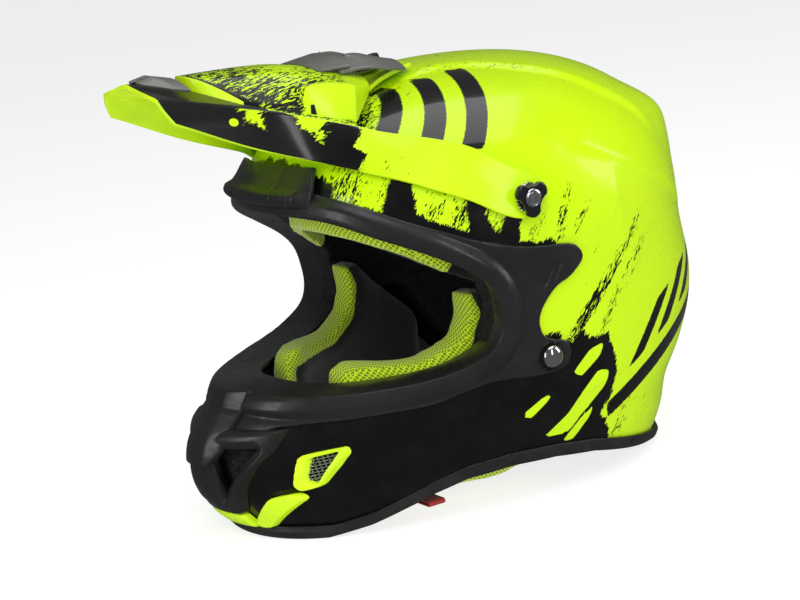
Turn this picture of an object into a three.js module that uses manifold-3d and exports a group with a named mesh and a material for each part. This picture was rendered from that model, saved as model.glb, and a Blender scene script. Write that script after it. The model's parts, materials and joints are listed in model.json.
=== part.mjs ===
// Motocross helmet, millimetres, +Z up, the face looks along -Y, +X is the wearer's left.
import * as THREE from "three";
import { mergeVertices } from "three/addons/utils/BufferGeometryUtils.js";
import Module from "manifold-3d";

const wasm = await Module();
wasm.setup();

// ---------------------------------------------------------------- driving dimensions
const CENTRE_Y = 30; // shift that puts the part centred over its origin
const SPRING_Z = 170; // height where the dome starts
const CROWN_Z = 271; // top of the shell
const DOME_POWER = 2.3; // squareness of the dome profile
const SHELL_T = 4;
const TRIM_T = 3;
const GAP = 0.4;
const PAD_OUT = -31; // depth of the face of the foam liner
const PIVOT = { x: 125, y: -30, z: 197 }; // side screws, the axis the peak tilts on
const SLOT_R = 77; // radius of the peak's slotted tongue about that axis
const RIM_TRIM_H = 7;
const RIVET = { y: -19, z: 95 };

// half width, front reach, rear reach and squareness of the shell against height
const WIDTH = [[0, 98], [20, 106], [50, 113], [90, 119], [130, 123.5], [170, 125.5]];
const FRONT = [[0, 176], [16, 189], [47, 202], [62, 200], [85, 184], [120, 165], [150, 150], [170, 143]];
const REAR = [[0, 120], [26, 133], [45, 138], [67, 153], [92, 164], [111, 166], [145, 160], [170, 155]];
const POWER = [[0, 2.1], [20, 1.95], [60, 1.75], [100, 1.8], [150, 2.0], [170, 2.1]];
// height of the rim over the floor against depth
const RIM = [[-230, 0], [-150, 0], [-130, 6], [-112, 14], [-95, 20], [-75, 23.5], [-45, 24],
  [-15, 23.5], [16, 21], [52, 13], [80, 6], [100, 1.2], [110, 0], [200, 0]];
// eye port, seen from the side (y, z)
const PORT = [[-260, 198], [-150, 198], [-129, 194], [-110, 183], [-86, 170], [-66, 157], [-55, 145],
  [-51, 131], [-51, 117], [-58, 106], [-76, 98], [-95, 94], [-118, 92], [-146, 91], [-168, 92],
  [-182, 95], [-196, 99], [-260, 104]];
// outer edge of the eye port surround (y, z)
const SURROUND = [[-260, 222], [-150, 221], [-133, 213], [-115, 203], [-98, 193], [-82, 185], [-62, 176],
  [-40, 169], [-26, 166], [-4, 163.5], [4, 160], [7, 152], [-3, 143], [-14, 138], [-23, 128], [-26, 119],
  [-24, 110], [-18, 106], [-9, 103], [-5, 96], [-8, 87], [-22, 84], [-53, 86], [-73, 83], [-94, 78],
  [-130, 76], [-169, 74], [-182, 69], [-196, 66], [-260, 64]];

// ---------------------------------------------------------------- solids
const solidOf = (geometry) => {
  const g = geometry.clone();
  g.deleteAttribute("normal");
  g.deleteAttribute("uv");
  const m = mergeVertices(g, 1e-4);
  return new wasm.Manifold(new wasm.Mesh({
    numProp: 3,
    vertProperties: m.attributes.position.array,
    triVerts: new Uint32Array(m.index.array),
  }));
};

const geometryOf = (solid) => {
  const m = solid.getMesh();
  const xyz = new Float32Array(m.numVert * 3);
  for (let i = 0; i < m.numVert; i++) {
    xyz.set(m.vertProperties.subarray(i * m.numProp, i * m.numProp + 3), i * 3);
  }
  const g = new THREE.BufferGeometry();
  g.setAttribute("position", new THREE.BufferAttribute(xyz, 3));
  g.setIndex(new THREE.BufferAttribute(new Uint32Array(m.triVerts), 1));
  const flat = g.toNonIndexed();
  flat.computeVertexNormals();
  return flat;
};

const smooth = (a, b, x) => {
  const t = Math.min(1, Math.max(0, (x - a) / (b - a)));
  return t * t * (3 - 2 * t);
};

// value of a smooth curve through knots
const curve = (knots, x) => {
  const n = knots.length;
  const slope = (i) => (knots[i + 1][1] - knots[i][1]) / (knots[i + 1][0] - knots[i][0]);
  const tangent = (i) => {
    if (i === 0) return slope(0);
    if (i === n - 1) return slope(n - 2);
    const a = knots[i][0] - knots[i - 1][0];
    const b = knots[i + 1][0] - knots[i][0];
    return (slope(i) * a + slope(i - 1) * b) / (a + b);
  };
  const c = Math.min(knots[n - 1][0], Math.max(knots[0][0], x));
  let i = 0;
  while (i < n - 2 && c > knots[i + 1][0]) i++;
  const h = knots[i + 1][0] - knots[i][0];
  const s = (c - knots[i][0]) / h;
  return (2 * s ** 3 - 3 * s ** 2 + 1) * knots[i][1] + (s ** 3 - 2 * s ** 2 + s) * h * tangent(i)
    + (3 * s ** 2 - 2 * s ** 3) * knots[i + 1][1] + (s ** 3 - s ** 2) * h * tangent(i + 1);
};

const straight = (knots, x) => {
  let i = 0;
  while (i < knots.length - 2 && x > knots[i + 1][0]) i++;
  const s = (x - knots[i][0]) / (knots[i + 1][0] - knots[i][0]);
  return knots[i][1] + Math.min(1, Math.max(0, s)) * (knots[i + 1][1] - knots[i][1]);
};

// a point of the head surface: level 0..1 runs up the walls, 1..2 over the dome; depth is outward
const headPoint = (level, turn, depth) => {
  const z = Math.min(level, 1) * SPRING_Z;
  const phi = Math.max(level - 1, 0) * Math.PI / 2;
  const r = Math.max(Math.cos(phi), 0) ** (2 / DOME_POWER);
  const s = Math.sin(phi) ** (2 / DOME_POWER);
  const c = Math.cos(turn);
  const n = Math.sin(turn);
  const p = n < 0 ? curve(POWER, z) : 2;
  const den = (Math.abs(c) ** p + Math.abs(n) ** p) ** (1 / p);
  const reach = n < 0 ? curve(FRONT, z) + depth : curve(REAR, z) + depth;
  const y = reach * r * n / den;
  const x = (curve(WIDTH, z) + depth) * r * c / den;
  const up = level > 1 ? SPRING_Z + (CROWN_Z + depth - SPRING_Z) * s : z;
  // the back of the crown comes to a shallow corner
  const corner = 9 * smooth(-34, 0, -Math.abs(up - 212)) * smooth(85, 50, Math.abs(x)) * smooth(60, 120, y);
  return [x, y + corner * 0.7, up + corner * 0.6];
};

// closed solid under the head surface at a depth, its walls carried straight down
const headSolid = (depth, around, walls, dome) => {
  const flare = typeof depth === "function" ? depth : () => depth;
  const rings = [];
  for (let j = 0; j <= walls; j++) rings.push(j / walls);
  for (let j = 1; j < dome; j++) rings.push(1 + j / dome);
  const xyz = [];
  const base = [];
  for (let k = 0; k < around; k++) {
    const turn = 2 * Math.PI * k / around;
    const p = headPoint(0, turn, flare(turn));
    base.push([p[0], p[1], -40]);
  }
  for (const p of base) xyz.push(...p);
  for (const level of rings) {
    for (let k = 0; k < around; k++) {
      const turn = 2 * Math.PI * k / around;
      xyz.push(...headPoint(level, turn, flare(turn)));
    }
  }
  const rows = rings.length + 1;
  const foot = xyz.length / 3;
  xyz.push(0, 0, -40);
  xyz.push(...headPoint(2, 0, flare(0)));
  const tri = [];
  for (let j = 0; j < rows - 1; j++) {
    for (let k = 0; k < around; k++) {
      const a = j * around + k;
      const b = j * around + (k + 1) % around;
      // left and right halves are split along mirrored diagonals
      if (Math.cos(2 * Math.PI * (k + 0.5) / around) < 0) tri.push(a, b, a + around, b, b + around, a + around);
      else tri.push(a, b, b + around, a, b + around, a + around);
    }
  }
  for (let k = 0; k < around; k++) {
    const b = (k + 1) % around;
    tri.push(foot, b, k);
    tri.push(foot + 1, (rows - 1) * around + k, (rows - 1) * around + b);
  }
  const g = new THREE.BufferGeometry();
  g.setAttribute("position", new THREE.BufferAttribute(new Float32Array(xyz), 3));
  g.setIndex(tri);
  return solidOf(g);
};

const extrude = (points, depth) => {
  const shape = new THREE.Shape(points.map(([a, b]) => new THREE.Vector2(a, b)));
  return new THREE.ExtrudeGeometry(shape, { depth, bevelEnabled: false });
};

// outline given as (y, z), standing between two x
const prismX = (points, x0, x1) => {
  const g = extrude(points, x1 - x0);
  g.applyMatrix4(new THREE.Matrix4().set(0, 0, 1, x0, 1, 0, 0, 0, 0, 1, 0, 0, 0, 0, 0, 1));
  return solidOf(g);
};

// outline given as (x, z), standing between two y
const prismY = (points, y0, y1) => {
  const g = extrude(points.map(([x, z]) => [z, x]), y1 - y0);
  g.applyMatrix4(new THREE.Matrix4().set(0, 1, 0, 0, 0, 0, 1, y0, 1, 0, 0, 0, 0, 0, 0, 1));
  return solidOf(g);
};

const prismZ = (points, z0, z1) => {
  const g = extrude(points, z1 - z0);
  g.translate(0, 0, z0);
  return solidOf(g);
};

const box = (x0, x1, y0, y1, z0, z1) => {
  const g = new THREE.BoxGeometry(x1 - x0, y1 - y0, z1 - z0);
  g.translate((x0 + x1) / 2, (y0 + y1) / 2, (z0 + z1) / 2);
  return solidOf(g);
};

// round solid from a profile of (radius, height), its axis along a direction from a point
const turned = (profile, at, along, sides = 16) => {
  const points = profile.map(([r, h]) => new THREE.Vector2(r, h));
  const g = new THREE.LatheGeometry(points, sides);
  const q = new THREE.Quaternion().setFromUnitVectors(
    new THREE.Vector3(0, 1, 0),
    new THREE.Vector3(...along).normalize(),
  );
  g.applyQuaternion(q);
  g.translate(...at);
  return solidOf(g);
};

// outline moved outward by a distance along its own normals
const grow = (points, by) => {
  const n = points.length;
  let area = 0;
  for (let i = 0; i < n; i++) {
    const [a, b] = [points[i], points[(i + 1) % n]];
    area += a[0] * b[1] - b[0] * a[1];
  }
  const side = area > 0 ? 1 : -1;
  return points.map((p, i) => {
    const a = points[(i + n - 1) % n];
    const b = points[(i + 1) % n];
    const u = new THREE.Vector2(p[0] - a[0], p[1] - a[1]).normalize();
    const v = new THREE.Vector2(b[0] - p[0], b[1] - p[1]).normalize();
    const m = new THREE.Vector2(u.y + v.y, -u.x - v.x).normalize();
    const k = side * by / Math.max(0.5, m.x * u.y - m.y * u.x);
    return [p[0] + m.x * k, p[1] + m.y * k];
  });
};

// closed sheet between two grids of points with the same layout
const sheet = (top, bottom) => {
  const rows = top.length;
  const cols = top[0].length;
  const xyz = [];
  for (const grid of [top, bottom]) for (const row of grid) for (const p of row) xyz.push(...p);
  const at = (layer, i, j) => layer * rows * cols + i * cols + j;
  const tri = [];
  const quad = (a, b, c, d) => {
    // the two halves of a symmetric sheet are split along mirrored diagonals
    if (xyz[3 * a] + xyz[3 * b] + xyz[3 * c] + xyz[3 * d] < 0) tri.push(a, b, d, b, c, d);
    else tri.push(a, b, c, a, c, d);
  };
  for (let i = 0; i < rows - 1; i++) {
    for (let j = 0; j < cols - 1; j++) {
      quad(at(0, i, j), at(0, i, j + 1), at(0, i + 1, j + 1), at(0, i + 1, j));
      quad(at(1, i, j), at(1, i + 1, j), at(1, i + 1, j + 1), at(1, i, j + 1));
    }
  }
  for (let i = 0; i < rows - 1; i++) {
    quad(at(0, i, 0), at(0, i + 1, 0), at(1, i + 1, 0), at(1, i, 0));
    quad(at(0, i + 1, cols - 1), at(0, i, cols - 1), at(1, i, cols - 1), at(1, i + 1, cols - 1));
  }
  for (let j = 0; j < cols - 1; j++) {
    quad(at(0, 0, j + 1), at(0, 0, j), at(1, 0, j), at(1, 0, j + 1));
    quad(at(0, rows - 1, j), at(0, rows - 1, j + 1), at(1, rows - 1, j + 1), at(1, rows - 1, j));
  }
  const g = new THREE.BufferGeometry();
  g.setAttribute("position", new THREE.BufferAttribute(new Float32Array(xyz), 3));
  g.setIndex(tri);
  const made = solidOf(g);
  if (made.volume() > 0) return made;
  for (let i = 0; i < tri.length; i += 3) [tri[i + 1], tri[i + 2]] = [tri[i + 2], tri[i + 1]];
  g.setIndex(tri);
  return solidOf(g);
};

// half rows (x from the centre outward) mirrored into whole rows
const whole = (half) => half.map((row) => [
  ...row.slice(1).reverse().map(([x, y, z]) => [-x, y, z]),
  ...row,
]);

const mirrored = (solid) => solid.mirror([1, 0, 0]);
const union = (...solids) => solids.reduce((a, b) => a.add(b));

// ---------------------------------------------------------------- materials
const paint = (name, color, roughness, metalness = 0) => {
  const m = new THREE.MeshStandardMaterial({ color, roughness, metalness });
  m.name = name;
  return m;
};
const LIME = paint("lime_shell", 0xc4f000, 0.25);
const LIME_PLASTIC = paint("lime_plastic", 0xb8e600, 0.4);
const SATIN_BLACK = paint("satin_black_plastic", 0x1b1b1d, 0.5);
const GLOSS_BLACK = paint("gloss_black_plastic", 0x0c0c0e, 0.2);
const RUBBER = paint("black_rubber", 0x161616, 0.7);
const FOAM = paint("black_foam", 0x121212, 0.9);
const MESH_FABRIC = paint("lime_mesh_fabric", 0xa6d400, 0.9);
const PLAIN_FABRIC = paint("black_fabric", 0x0e0e0e, 0.95);
const WEBBING = paint("black_webbing", 0x141414, 0.9);
const CHROME = paint("chrome_steel", 0xd8d8d8, 0.1, 1);
const ALUMINIUM = paint("satin_aluminium", 0xc4c6c8, 0.35, 1);
const STEEL = paint("bare_steel", 0xa8a8a8, 0.4, 1);
const GREY_PLASTIC = paint("grey_plastic", 0x3a3a3c, 0.45);
const RED_WEBBING = paint("red_webbing", 0xb01818, 0.8);

// ---------------------------------------------------------------- shared bodies
const cache = new Map();
const skin = (depth) => {
  if (!cache.has(depth)) {
    cache.set(depth, depth < 0 ? headSolid(depth, 30, 6, 7) : headSolid(depth, 48, 9, 9));
  }
  return cache.get(depth);
};
const layer = (outer, inner) => skin(outer).subtract(skin(inner));
const belowRim = (over) => prismX([
  ...RIM.map(([y, z]) => [y, z + over]),
  [260, -60],
  [-260, -60],
], -180, 180);
const port = (by) => prismX(grow(PORT, by), -180, 180);

// x of the shell's side at a depth and height, moved outward
const sideX = (y, z, depth) => {
  const low = Math.min(z, SPRING_Z);
  const s = Math.max(0, (z - SPRING_Z) / (CROWN_Z + depth - SPRING_Z));
  const r = (1 - s ** DOME_POWER) ** (1 / DOME_POWER);
  const p = y < 0 ? curve(POWER, low) : 2;
  const reach = ((y < 0 ? curve(FRONT, low) : curve(REAR, low)) + depth) * r;
  return (curve(WIDTH, low) + depth) * r * Math.max(0, 1 - (Math.abs(y) / reach) ** p) ** (1 / p);
};

// direction square to the peak's tongue at the centre screw
const CENTRE_LEAN = 16.2 * Math.PI / 180;
const CENTRE_DIR = [0, -Math.sin(CENTRE_LEAN), Math.cos(CENTRE_LEAN)];
const fromPivot = (r) => [0, PIVOT.y + r * CENTRE_DIR[1], PIVOT.z + r * CENTRE_DIR[2]];
const SEAT_X = 127.4; // flat seat of a side screw on the peak's arm
const rod = (r, at, along, h0, h1) => turned([[0, h0], [r, h0], [r, h1], [0, h1]], at, along);

// ---------------------------------------------------------------- shell and trims
const SIDE_VENT = [[53, 36], [56, 54], [72, 57], [73, 53], [62, 33], [55, 32]];
const SIDE_VENT_HOLE = [[57, 39], [59, 51], [69, 53.5], [61, 37]];
const WEDGE = [[36, 31], [51, 35], [54, 30], [50, 24], [36, 8], [30, 8.5], [28.6, 14]];
const CHIN_HOLE = [[9, 60], [37, 62], [26, 47], [14, 30]];
const flip = (points) => points.map(([x, z]) => [-x, z]).reverse();

const outerShell = () => {
  const fairing = prismX([[-22, 264], [-22, 273], [-16, 274.5], [2, 273.5], [22, 266], [22, 262]], -20, 20);
  let s = union(skin(0), fairing).subtract(skin(-SHELL_T)).subtract(belowRim(4.8)).subtract(port(3.6));
  for (const side of [1, -1]) {
    s = s.subtract(rod(6.4, [0, PIVOT.y, PIVOT.z], [side, 0, 0], 100, 140));
    s = s.subtract(rod(3.2, [0, RIVET.y, RIVET.z], [side, 0, 0], 90, 140));
  }
  for (const hole of [SIDE_VENT_HOLE, flip(SIDE_VENT_HOLE), CHIN_HOLE, flip(CHIN_HOLE)]) {
    s = s.subtract(prismY(hole, -230, -110));
  }
  return s.subtract(rod(6.4, fromPivot(0), CENTRE_DIR, 50, 90));
};

const eyeportTrim = () => {
  const face = layer(TRIM_T + GAP, GAP).intersect(prismX(SURROUND, -180, 180));
  const wall = layer(TRIM_T + GAP, -28).intersect(port(TRIM_T));
  let s = union(face, wall).subtract(port(0));
  for (const side of [1, -1]) {
    s = s.subtract(rod(3.2, [0, RIVET.y, RIVET.z], [side, 0, 0], 90, 140));
    s = s.subtract(rod(7.8, [0, RIVET.y, RIVET.z], [side, 0, 0], 121.2, 140));
  }
  return s;
};

const baseTrim = () => {
  const flare = (turn) => 1.8 + 5 * smooth(0.72, 0.95, Math.sin(turn)) + 4 * smooth(0.9, 0.985, -Math.sin(turn));
  const outer = headSolid(flare, 48, 9, 9);
  const ring = outer.subtract(skin(-7.8)).subtract(belowRim(0));
  const band = ring.intersect(belowRim(RIM_TRIM_H));
  return band.subtract(layer(GAP, -5.2).subtract(belowRim(4.4)));
};

// brow vent block: ribbed lip and raised front face under the peak
const browVent = () => {
  const face = layer(7.5, 3.8).intersect(prismX([[-230, 200.5], [-230, 222], [-60, 222], [-60, 200.5]], -44, 44));
  const lip = layer(14, 3.8).intersect(prismX([[-230, 203], [-230, 209], [-60, 207], [-60, 200.5]], -42, 42));
  return union(face, lip);
};

// ---------------------------------------------------------------- chin
const HOUSING = [[-50, 73], [50, 73], [46, 60], [36, 48], [29, 32], [27, 18.6], [-27, 18.6], [-29, 32],
  [-36, 48], [-46, 60]];
const CAP = [[-24, 95], [24, 95], [20, 60], [12, 51], [-12, 51], [-20, 60]];

const chinHousing = () => {
  let s = layer(7, GAP).intersect(prismY(HOUSING, -230, -120));
  s = s.subtract(prismY(grow(CAP, GAP), -230, -120)).subtract(prismX(grow(SURROUND, GAP), -180, 180));
  s = s.subtract(prismY(CHIN_HOLE, -230, -110)).subtract(prismY(flip(CHIN_HOLE), -230, -110));
  return s;
};

const noseCap = () => {
  const upper = layer(9, TRIM_T + 0.8).intersect(prismY(CAP, -230, -120));
  return upper.subtract(port(-1));
};

const chinInsert = () => layer(8, 2 * GAP)
  .intersect(prismY([[-24, 18.2], [24, 18.2], [28, RIM_TRIM_H + 0.5], [-28, RIM_TRIM_H + 0.5]], -230, -120));

const ventFrame = () => layer(3.2, GAP).intersect(prismY(SIDE_VENT, -230, -110))
  .subtract(prismY(SIDE_VENT_HOLE, -230, -110));

const ventMesh = () => layer(GAP - 0.2, -1.2).intersect(prismY(grow(SIDE_VENT_HOLE, -0.5), -230, -110));

const chinWedge = () => layer(4.2, GAP).intersect(prismY(WEDGE, -230, -110)).subtract(belowRim(RIM_TRIM_H + 0.5));

// ---------------------------------------------------------------- foam and comfort liner
const epsLiner = () => {
  const region = prismX([[-52, 108], [14, 108], [40, 64], [200, 64], [200, 300], [-230, 300], [-230, 150],
    [-52, 150]], -180, 180);
  let s = layer(-5.4, -29).intersect(region).subtract(port(4.2));
  for (const side of [1, -1]) s = s.subtract(rod(7, [0, PIVOT.y, PIVOT.z], [side, 0, 0], 98, 140));
  return s.subtract(rod(7, fromPivot(0), CENTRE_DIR, 54, 90));
};

const chinFoam = () => layer(-5.4, -26)
  .intersect(prismX([[-230, 11], [-150, 12], [-125, 20], [-95, 31], [-64, 36], [-64, 84], [-230, 84]],
    -180, 180));

const crownPad = () => layer(-30.2, -41).intersect(prismX([[-46, 162], [-5, 132], [60, 98], [200, 98],
  [200, 300], [-200, 300], [-200, 213], [-125, 213], [-98, 197], [-68, 178]], -180, 180));

const browPad = () => layer(-30.2, -42).intersect(prismX([[-150, 190], [-128, 189], [-108, 178], [-84, 165],
  [-66, 153], [-60, 149], [-53, 160], [-67, 172], [-97, 194], [-124, 210], [-150, 210]], -180, 180));

const CHEEK = [[-100, 15], [-114, 30], [-124, 56], [-128, 84], [-124, 98], [-104, 101], [-76, 102], [-58, 110],
  [-50, 124], [-52, 140], [-38, 142], [-20, 122], [8, 95], [8, 22], [-22, 9], [-72, 9], [-84, 15]];
const cheekPad = () => layer(-30.2, -56).intersect(prismX(CHEEK, 20, 180));

const neckRoll = () => layer(-9, -34).intersect(prismX([[46, 32], [46, 60], [200, 60], [200, 24], [80, 24]],
  -180, 180));

const releaseTab = () => box(62, 88, -98, -86, 11.5, 14.5);

// ---------------------------------------------------------------- peak
const drop = (grid, by) => grid.map((row) => row.map(([x, y, z]) => [x, y, z - by]));

const peak = () => {
  const main = whole([
    [[0, -219, 288.5], [14, -226, 287.5], [27, -221, 283], [36, -210, 273], [45, -199, 262]],
    [[0, -197, 286], [15, -198, 285], [29, -195, 279.5], [39, -190, 268], [46, -184, 254]],
    [[0, -172, 279], [17, -172, 278], [33, -170, 272], [42, -168, 261], [48, -166, 246.5]],
    [[0, -147, 275], [20, -147, 273.5], [36, -146, 266], [45, -144, 253], [51, -142, 236]],
    [[0, -122, 269], [22, -122, 267], [40, -119, 258], [50, -118, 243], [57, -120, 226]],
    [[0, -100, 264.5], [24, -100, 262], [46, -101, 251], [63, -103, 238], [76, -108, 220]],
  ]);
  // inner face: the rows moved inward along the arch
  const inner = main.map((row) => row.map(([x, y, z]) => [x * 0.955, y + 1, z - 2.2]));
  const tongueTop = [];
  const tongueBottom = [];
  for (const [y, z, w] of [[-104, 265.3, 24], [-92, 263.6, 24], [-80, 264, 23]]) {
    tongueTop.push([[0, y, z], [w / 2, y, z - 0.7], [w, y, z - 2.5]]);
    tongueBottom.push([[0, y, z - 2.2], [w / 2, y, z - 2.9], [w, y, z - 4.7]]);
  }
  for (const y of [-70, -62, -54, -46, -38]) {
    for (const [rows, r] of [[tongueTop, SLOT_R + 2.2], [tongueBottom, SLOT_R]]) {
      const z = PIVOT.z + Math.sqrt(r * r - (y - PIVOT.y) ** 2);
      rows.push([[0, y, z], [11, y, z], [22, y, z]]);
    }
  }
  const tongue = sheet(whole(tongueTop), whole(tongueBottom));
  const panelTop = whole([
    [[0, -177, 289], [14, -177, 288.5], [26, -175, 285.5]],
    [[0, -150, 288.5], [17, -150, 288], [32, -149, 283.5]],
    [[0, -124, 285.5], [22, -124, 284], [42, -122, 277]],
    [[0, -98, 279.5], [24, -98, 278], [46, -96, 270.5]],
  ]);
  const panel = sheet(panelTop, drop(panelTop, 2.4));
  const lip = sheet(
    [panelTop[0], panelTop[0].map(([x, y, z]) => [x, y + 2.2, z])],
    [drop(panelTop, 5.6)[0], drop(panelTop, 5.6)[0].map(([x, y, z]) => [x, y + 2.2, z])],
  );
  const wallTop = [[26, -175, 285], [32, -149, 283], [42, -122, 276.5], [46, -96, 270]];
  const wallFoot = [[27, -175, 274.5], [33.5, -149, 266.5], [42.5, -120, 254.8], [46, -97, 249.6]];
  const wall = sheet(
    wallTop.map((p, i) => [p, wallFoot[i]]),
    wallTop.map((p, i) => [[p[0] - 2.2, p[1], p[2]], [wallFoot[i][0] - 2.2, wallFoot[i][1], wallFoot[i][2]]]),
  );
  // arm: from the flank back over the temple to the side screw, following the shell
  const armFoot = [
    [[-86, 240], [-88, 226], [-92, 211]],
    [[-60, 233], [-63, 217], [-68, 201]],
    [[-40, 220], [-44, 204], [-50, 188]],
    [[-24, 212], [-28, 198], [-32, 184]],
    [[-13, 205], [-12, 197], [-16, 188]],
  ];
  const armRow = (row, depth) => row.map(([y, z]) => [sideX(y, z, depth), y, z]);
  const sunk = (grid, by) => drop(grid.slice(4).map((row) => row.slice(6)), by);
  const armTop = [...sunk(main, 0.5), ...armFoot.map((row) => armRow(row, 6.2))];
  const armInner = [...sunk(inner, -0.5), ...armFoot.map((row) => armRow(row, 3.6))];
  const arm = sheet(armTop, armInner);
  const boss = turned([[0, 124.4], [11, 124.4], [11, SEAT_X], [0, SEAT_X]], [0, PIVOT.y, PIVOT.z], [1, 0, 0]);
  let s = union(sheet(main, inner), tongue, panel, lip);
  for (const piece of [wall, union(arm, boss)]) s = union(s, piece, mirrored(piece));
  for (const side of [1, -1]) {
    s = s.subtract(rod(3.6, [0, PIVOT.y, PIVOT.z], [side, 0, 0], 100, 140));
    s = s.subtract(rod(12.5, [0, PIVOT.y, PIVOT.z], [side, 0, 0], SEAT_X, 140));
  }
  return s.subtract(box(-3.8, 3.8, -66, -47.5, 255, 277));
};

const peakCover = () => {
  const top = whole([
    [[0, -120, 287.4], [16, -120, 286.9], [26, -119, 284.8]],
    [[0, -98, 288], [18, -98, 286.8], [31, -97, 282]],
    [[0, -96, 285], [18, -96, 284], [32, -95, 279.5]],
    [[0, -76, 286.2], [18, -76, 284.6], [31, -76, 279]],
    [[0, -62, 280], [18, -62, 278.4], [30, -62, 274]],
    [[0, -42, 278.4], [18, -42, 278], [28, -42, 277.6]],
  ]);
  return sheet(top, drop(top, 1.6)).subtract(box(-13, 13, -79, -30, 250, 300));
};

const peakScoop = () => sheet(
  [[[7, -217, 291], [20, -216, 290]], [[9, -191, 294], [25, -187, 288.5]]],
  [[[7, -217, 289], [20, -216, 288]], [[9, -191, 287.2], [25, -187, 284]]],
);

// ---------------------------------------------------------------- screws
const triLobe = () => {
  const points = [];
  for (let k = 0; k < 36; k++) {
    const a = k * Math.PI / 18;
    const r = 9.4 + 2.6 * Math.cos(3 * a);
    points.push([r * Math.cos(a), r * Math.sin(a)]);
  }
  return points;
};

const placed = (geometry, at, along) => {
  geometry.applyQuaternion(new THREE.Quaternion().setFromUnitVectors(
    new THREE.Vector3(0, 0, 1),
    new THREE.Vector3(...along).normalize(),
  ));
  geometry.translate(...at);
  return solidOf(geometry);
};

const screw = (at, along, shank) => turned([[0, -shank], [3, -shank], [3, 0], [9, 0], [9, 1.8], [4.3, 1.8],
  [4.3, 6.4], [3.6, 6.8], [0, 6.8]], at, along);

const knob = (at, along) => {
  const g = extrude(triLobe(), 4);
  g.translate(0, 0, 2.2);
  return placed(g, at, along).subtract(rod(4.7, at, along, 0, 9));
};

const insert = (at, along, h0, h1) => turned([[3.4, h0], [6, h0], [6, h1], [3.4, h1], [3.4, h0]], at, along);

// ---------------------------------------------------------------- retention
const rivet = () => turned([[0, 102.4], [4.6, 102.4], [4.6, 103.6], [2.6, 103.6], [2.6, 121.6], [7.2, 121.6],
  [6.8, 123.6], [5, 125.2], [2.6, 126], [0, 126.2]], [0, RIVET.y, RIVET.z], [1, 0, 0]);

const LEAN = 0.19; // the plate leans in with the shell towards its foot
const PLATE_X = 105.4;
const anchor = () => {
  const shape = new THREE.Shape([[-27, 104], [-11, 104], [44, 45], [44, 31.5], [8, 31.5], [8, 48], [-27, 88]]
    .map(([y, z]) => new THREE.Vector2(y, z)));
  const slot = [[12, 34.5], [40, 34.5], [40, 39.5], [12, 39.5]];
  shape.holes.push(new THREE.Path(slot.map(([y, z]) => new THREE.Vector2(y, z))));
  const g = new THREE.ExtrudeGeometry(shape, { depth: 1.6, bevelEnabled: false });
  g.applyMatrix4(new THREE.Matrix4().set(0, LEAN, 1, PLATE_X - LEAN * RIVET.z, 1, 0, 0, 0, 0, 1, 0, 0,
    0, 0, 0, 1));
  return solidOf(g).subtract(rod(3, [0, RIVET.y, RIVET.z], [1, 0, 0], 100, 120));
};
const BAR = { x: PLATE_X + 0.8 + LEAN * (33 - RIVET.z), z: 33 };

// a webbing strap seen edge-on (x, z), between two y
const webbing = (outline, y0, y1) => prismY(outline, y0, y1);
const circle = (x, z, r, n = 16) => {
  const points = [];
  for (let k = 0; k < n; k++) {
    points.push([x + r * Math.cos(2 * Math.PI * k / n), z + r * Math.sin(2 * Math.PI * k / n)]);
  }
  return points;
};
const strip = (points, t) => {
  const left = [];
  const right = [];
  points.forEach(([x, z], i) => {
    const a = points[Math.max(0, i - 1)];
    const b = points[Math.min(points.length - 1, i + 1)];
    const d = Math.hypot(b[0] - a[0], b[1] - a[1]);
    const n = [-(b[1] - a[1]) / d * t / 2, (b[0] - a[0]) / d * t / 2];
    left.push([x + n[0], z + n[1]]);
    right.unshift([x - n[0], z - n[1]]);
  });
  return [...left, ...right];
};
const STRAP_Y = [13.5, 38.5];
const RING_AT = { x: 42, z: 18 };
const strapLeft = () => {
  const eye = webbing(circle(BAR.x, BAR.z, 4.4), ...STRAP_Y);
  const tail = webbing(strip([[BAR.x - 3.2, BAR.z - 1.2], [RING_AT.x + 5.4, RING_AT.z]], 2), ...STRAP_Y);
  const loop = webbing(circle(RING_AT.x, RING_AT.z, 6.6), ...STRAP_Y);
  return union(eye, tail, loop)
    .subtract(webbing(circle(BAR.x, BAR.z, 2.5), 0, 60))
    .subtract(webbing(circle(RING_AT.x, RING_AT.z, 4.6), 0, 60));
};

const strapRight = () => {
  const eye = webbing(circle(-BAR.x, BAR.z, 4.4), ...STRAP_Y);
  const path = [[-BAR.x + 3.2, BAR.z - 1.2], [-16, 12], [-12.6, 13], [-11.6, 15.4], [-13, 17.8], [-16, 18.4],
    [-70, 29.5]];
  return union(eye, webbing(strip(path, 2), ...STRAP_Y)).subtract(webbing(circle(-BAR.x, BAR.z, 2.5), 0, 60));
};

const strapStud = () => {
  return turned([[0, 0.6], [6.5, 0.6], [6.5, 2], [4, 3], [0, 3.4]], [-60, 26, 28.4], [0.2, 0, 0.98], 16);
};

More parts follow.
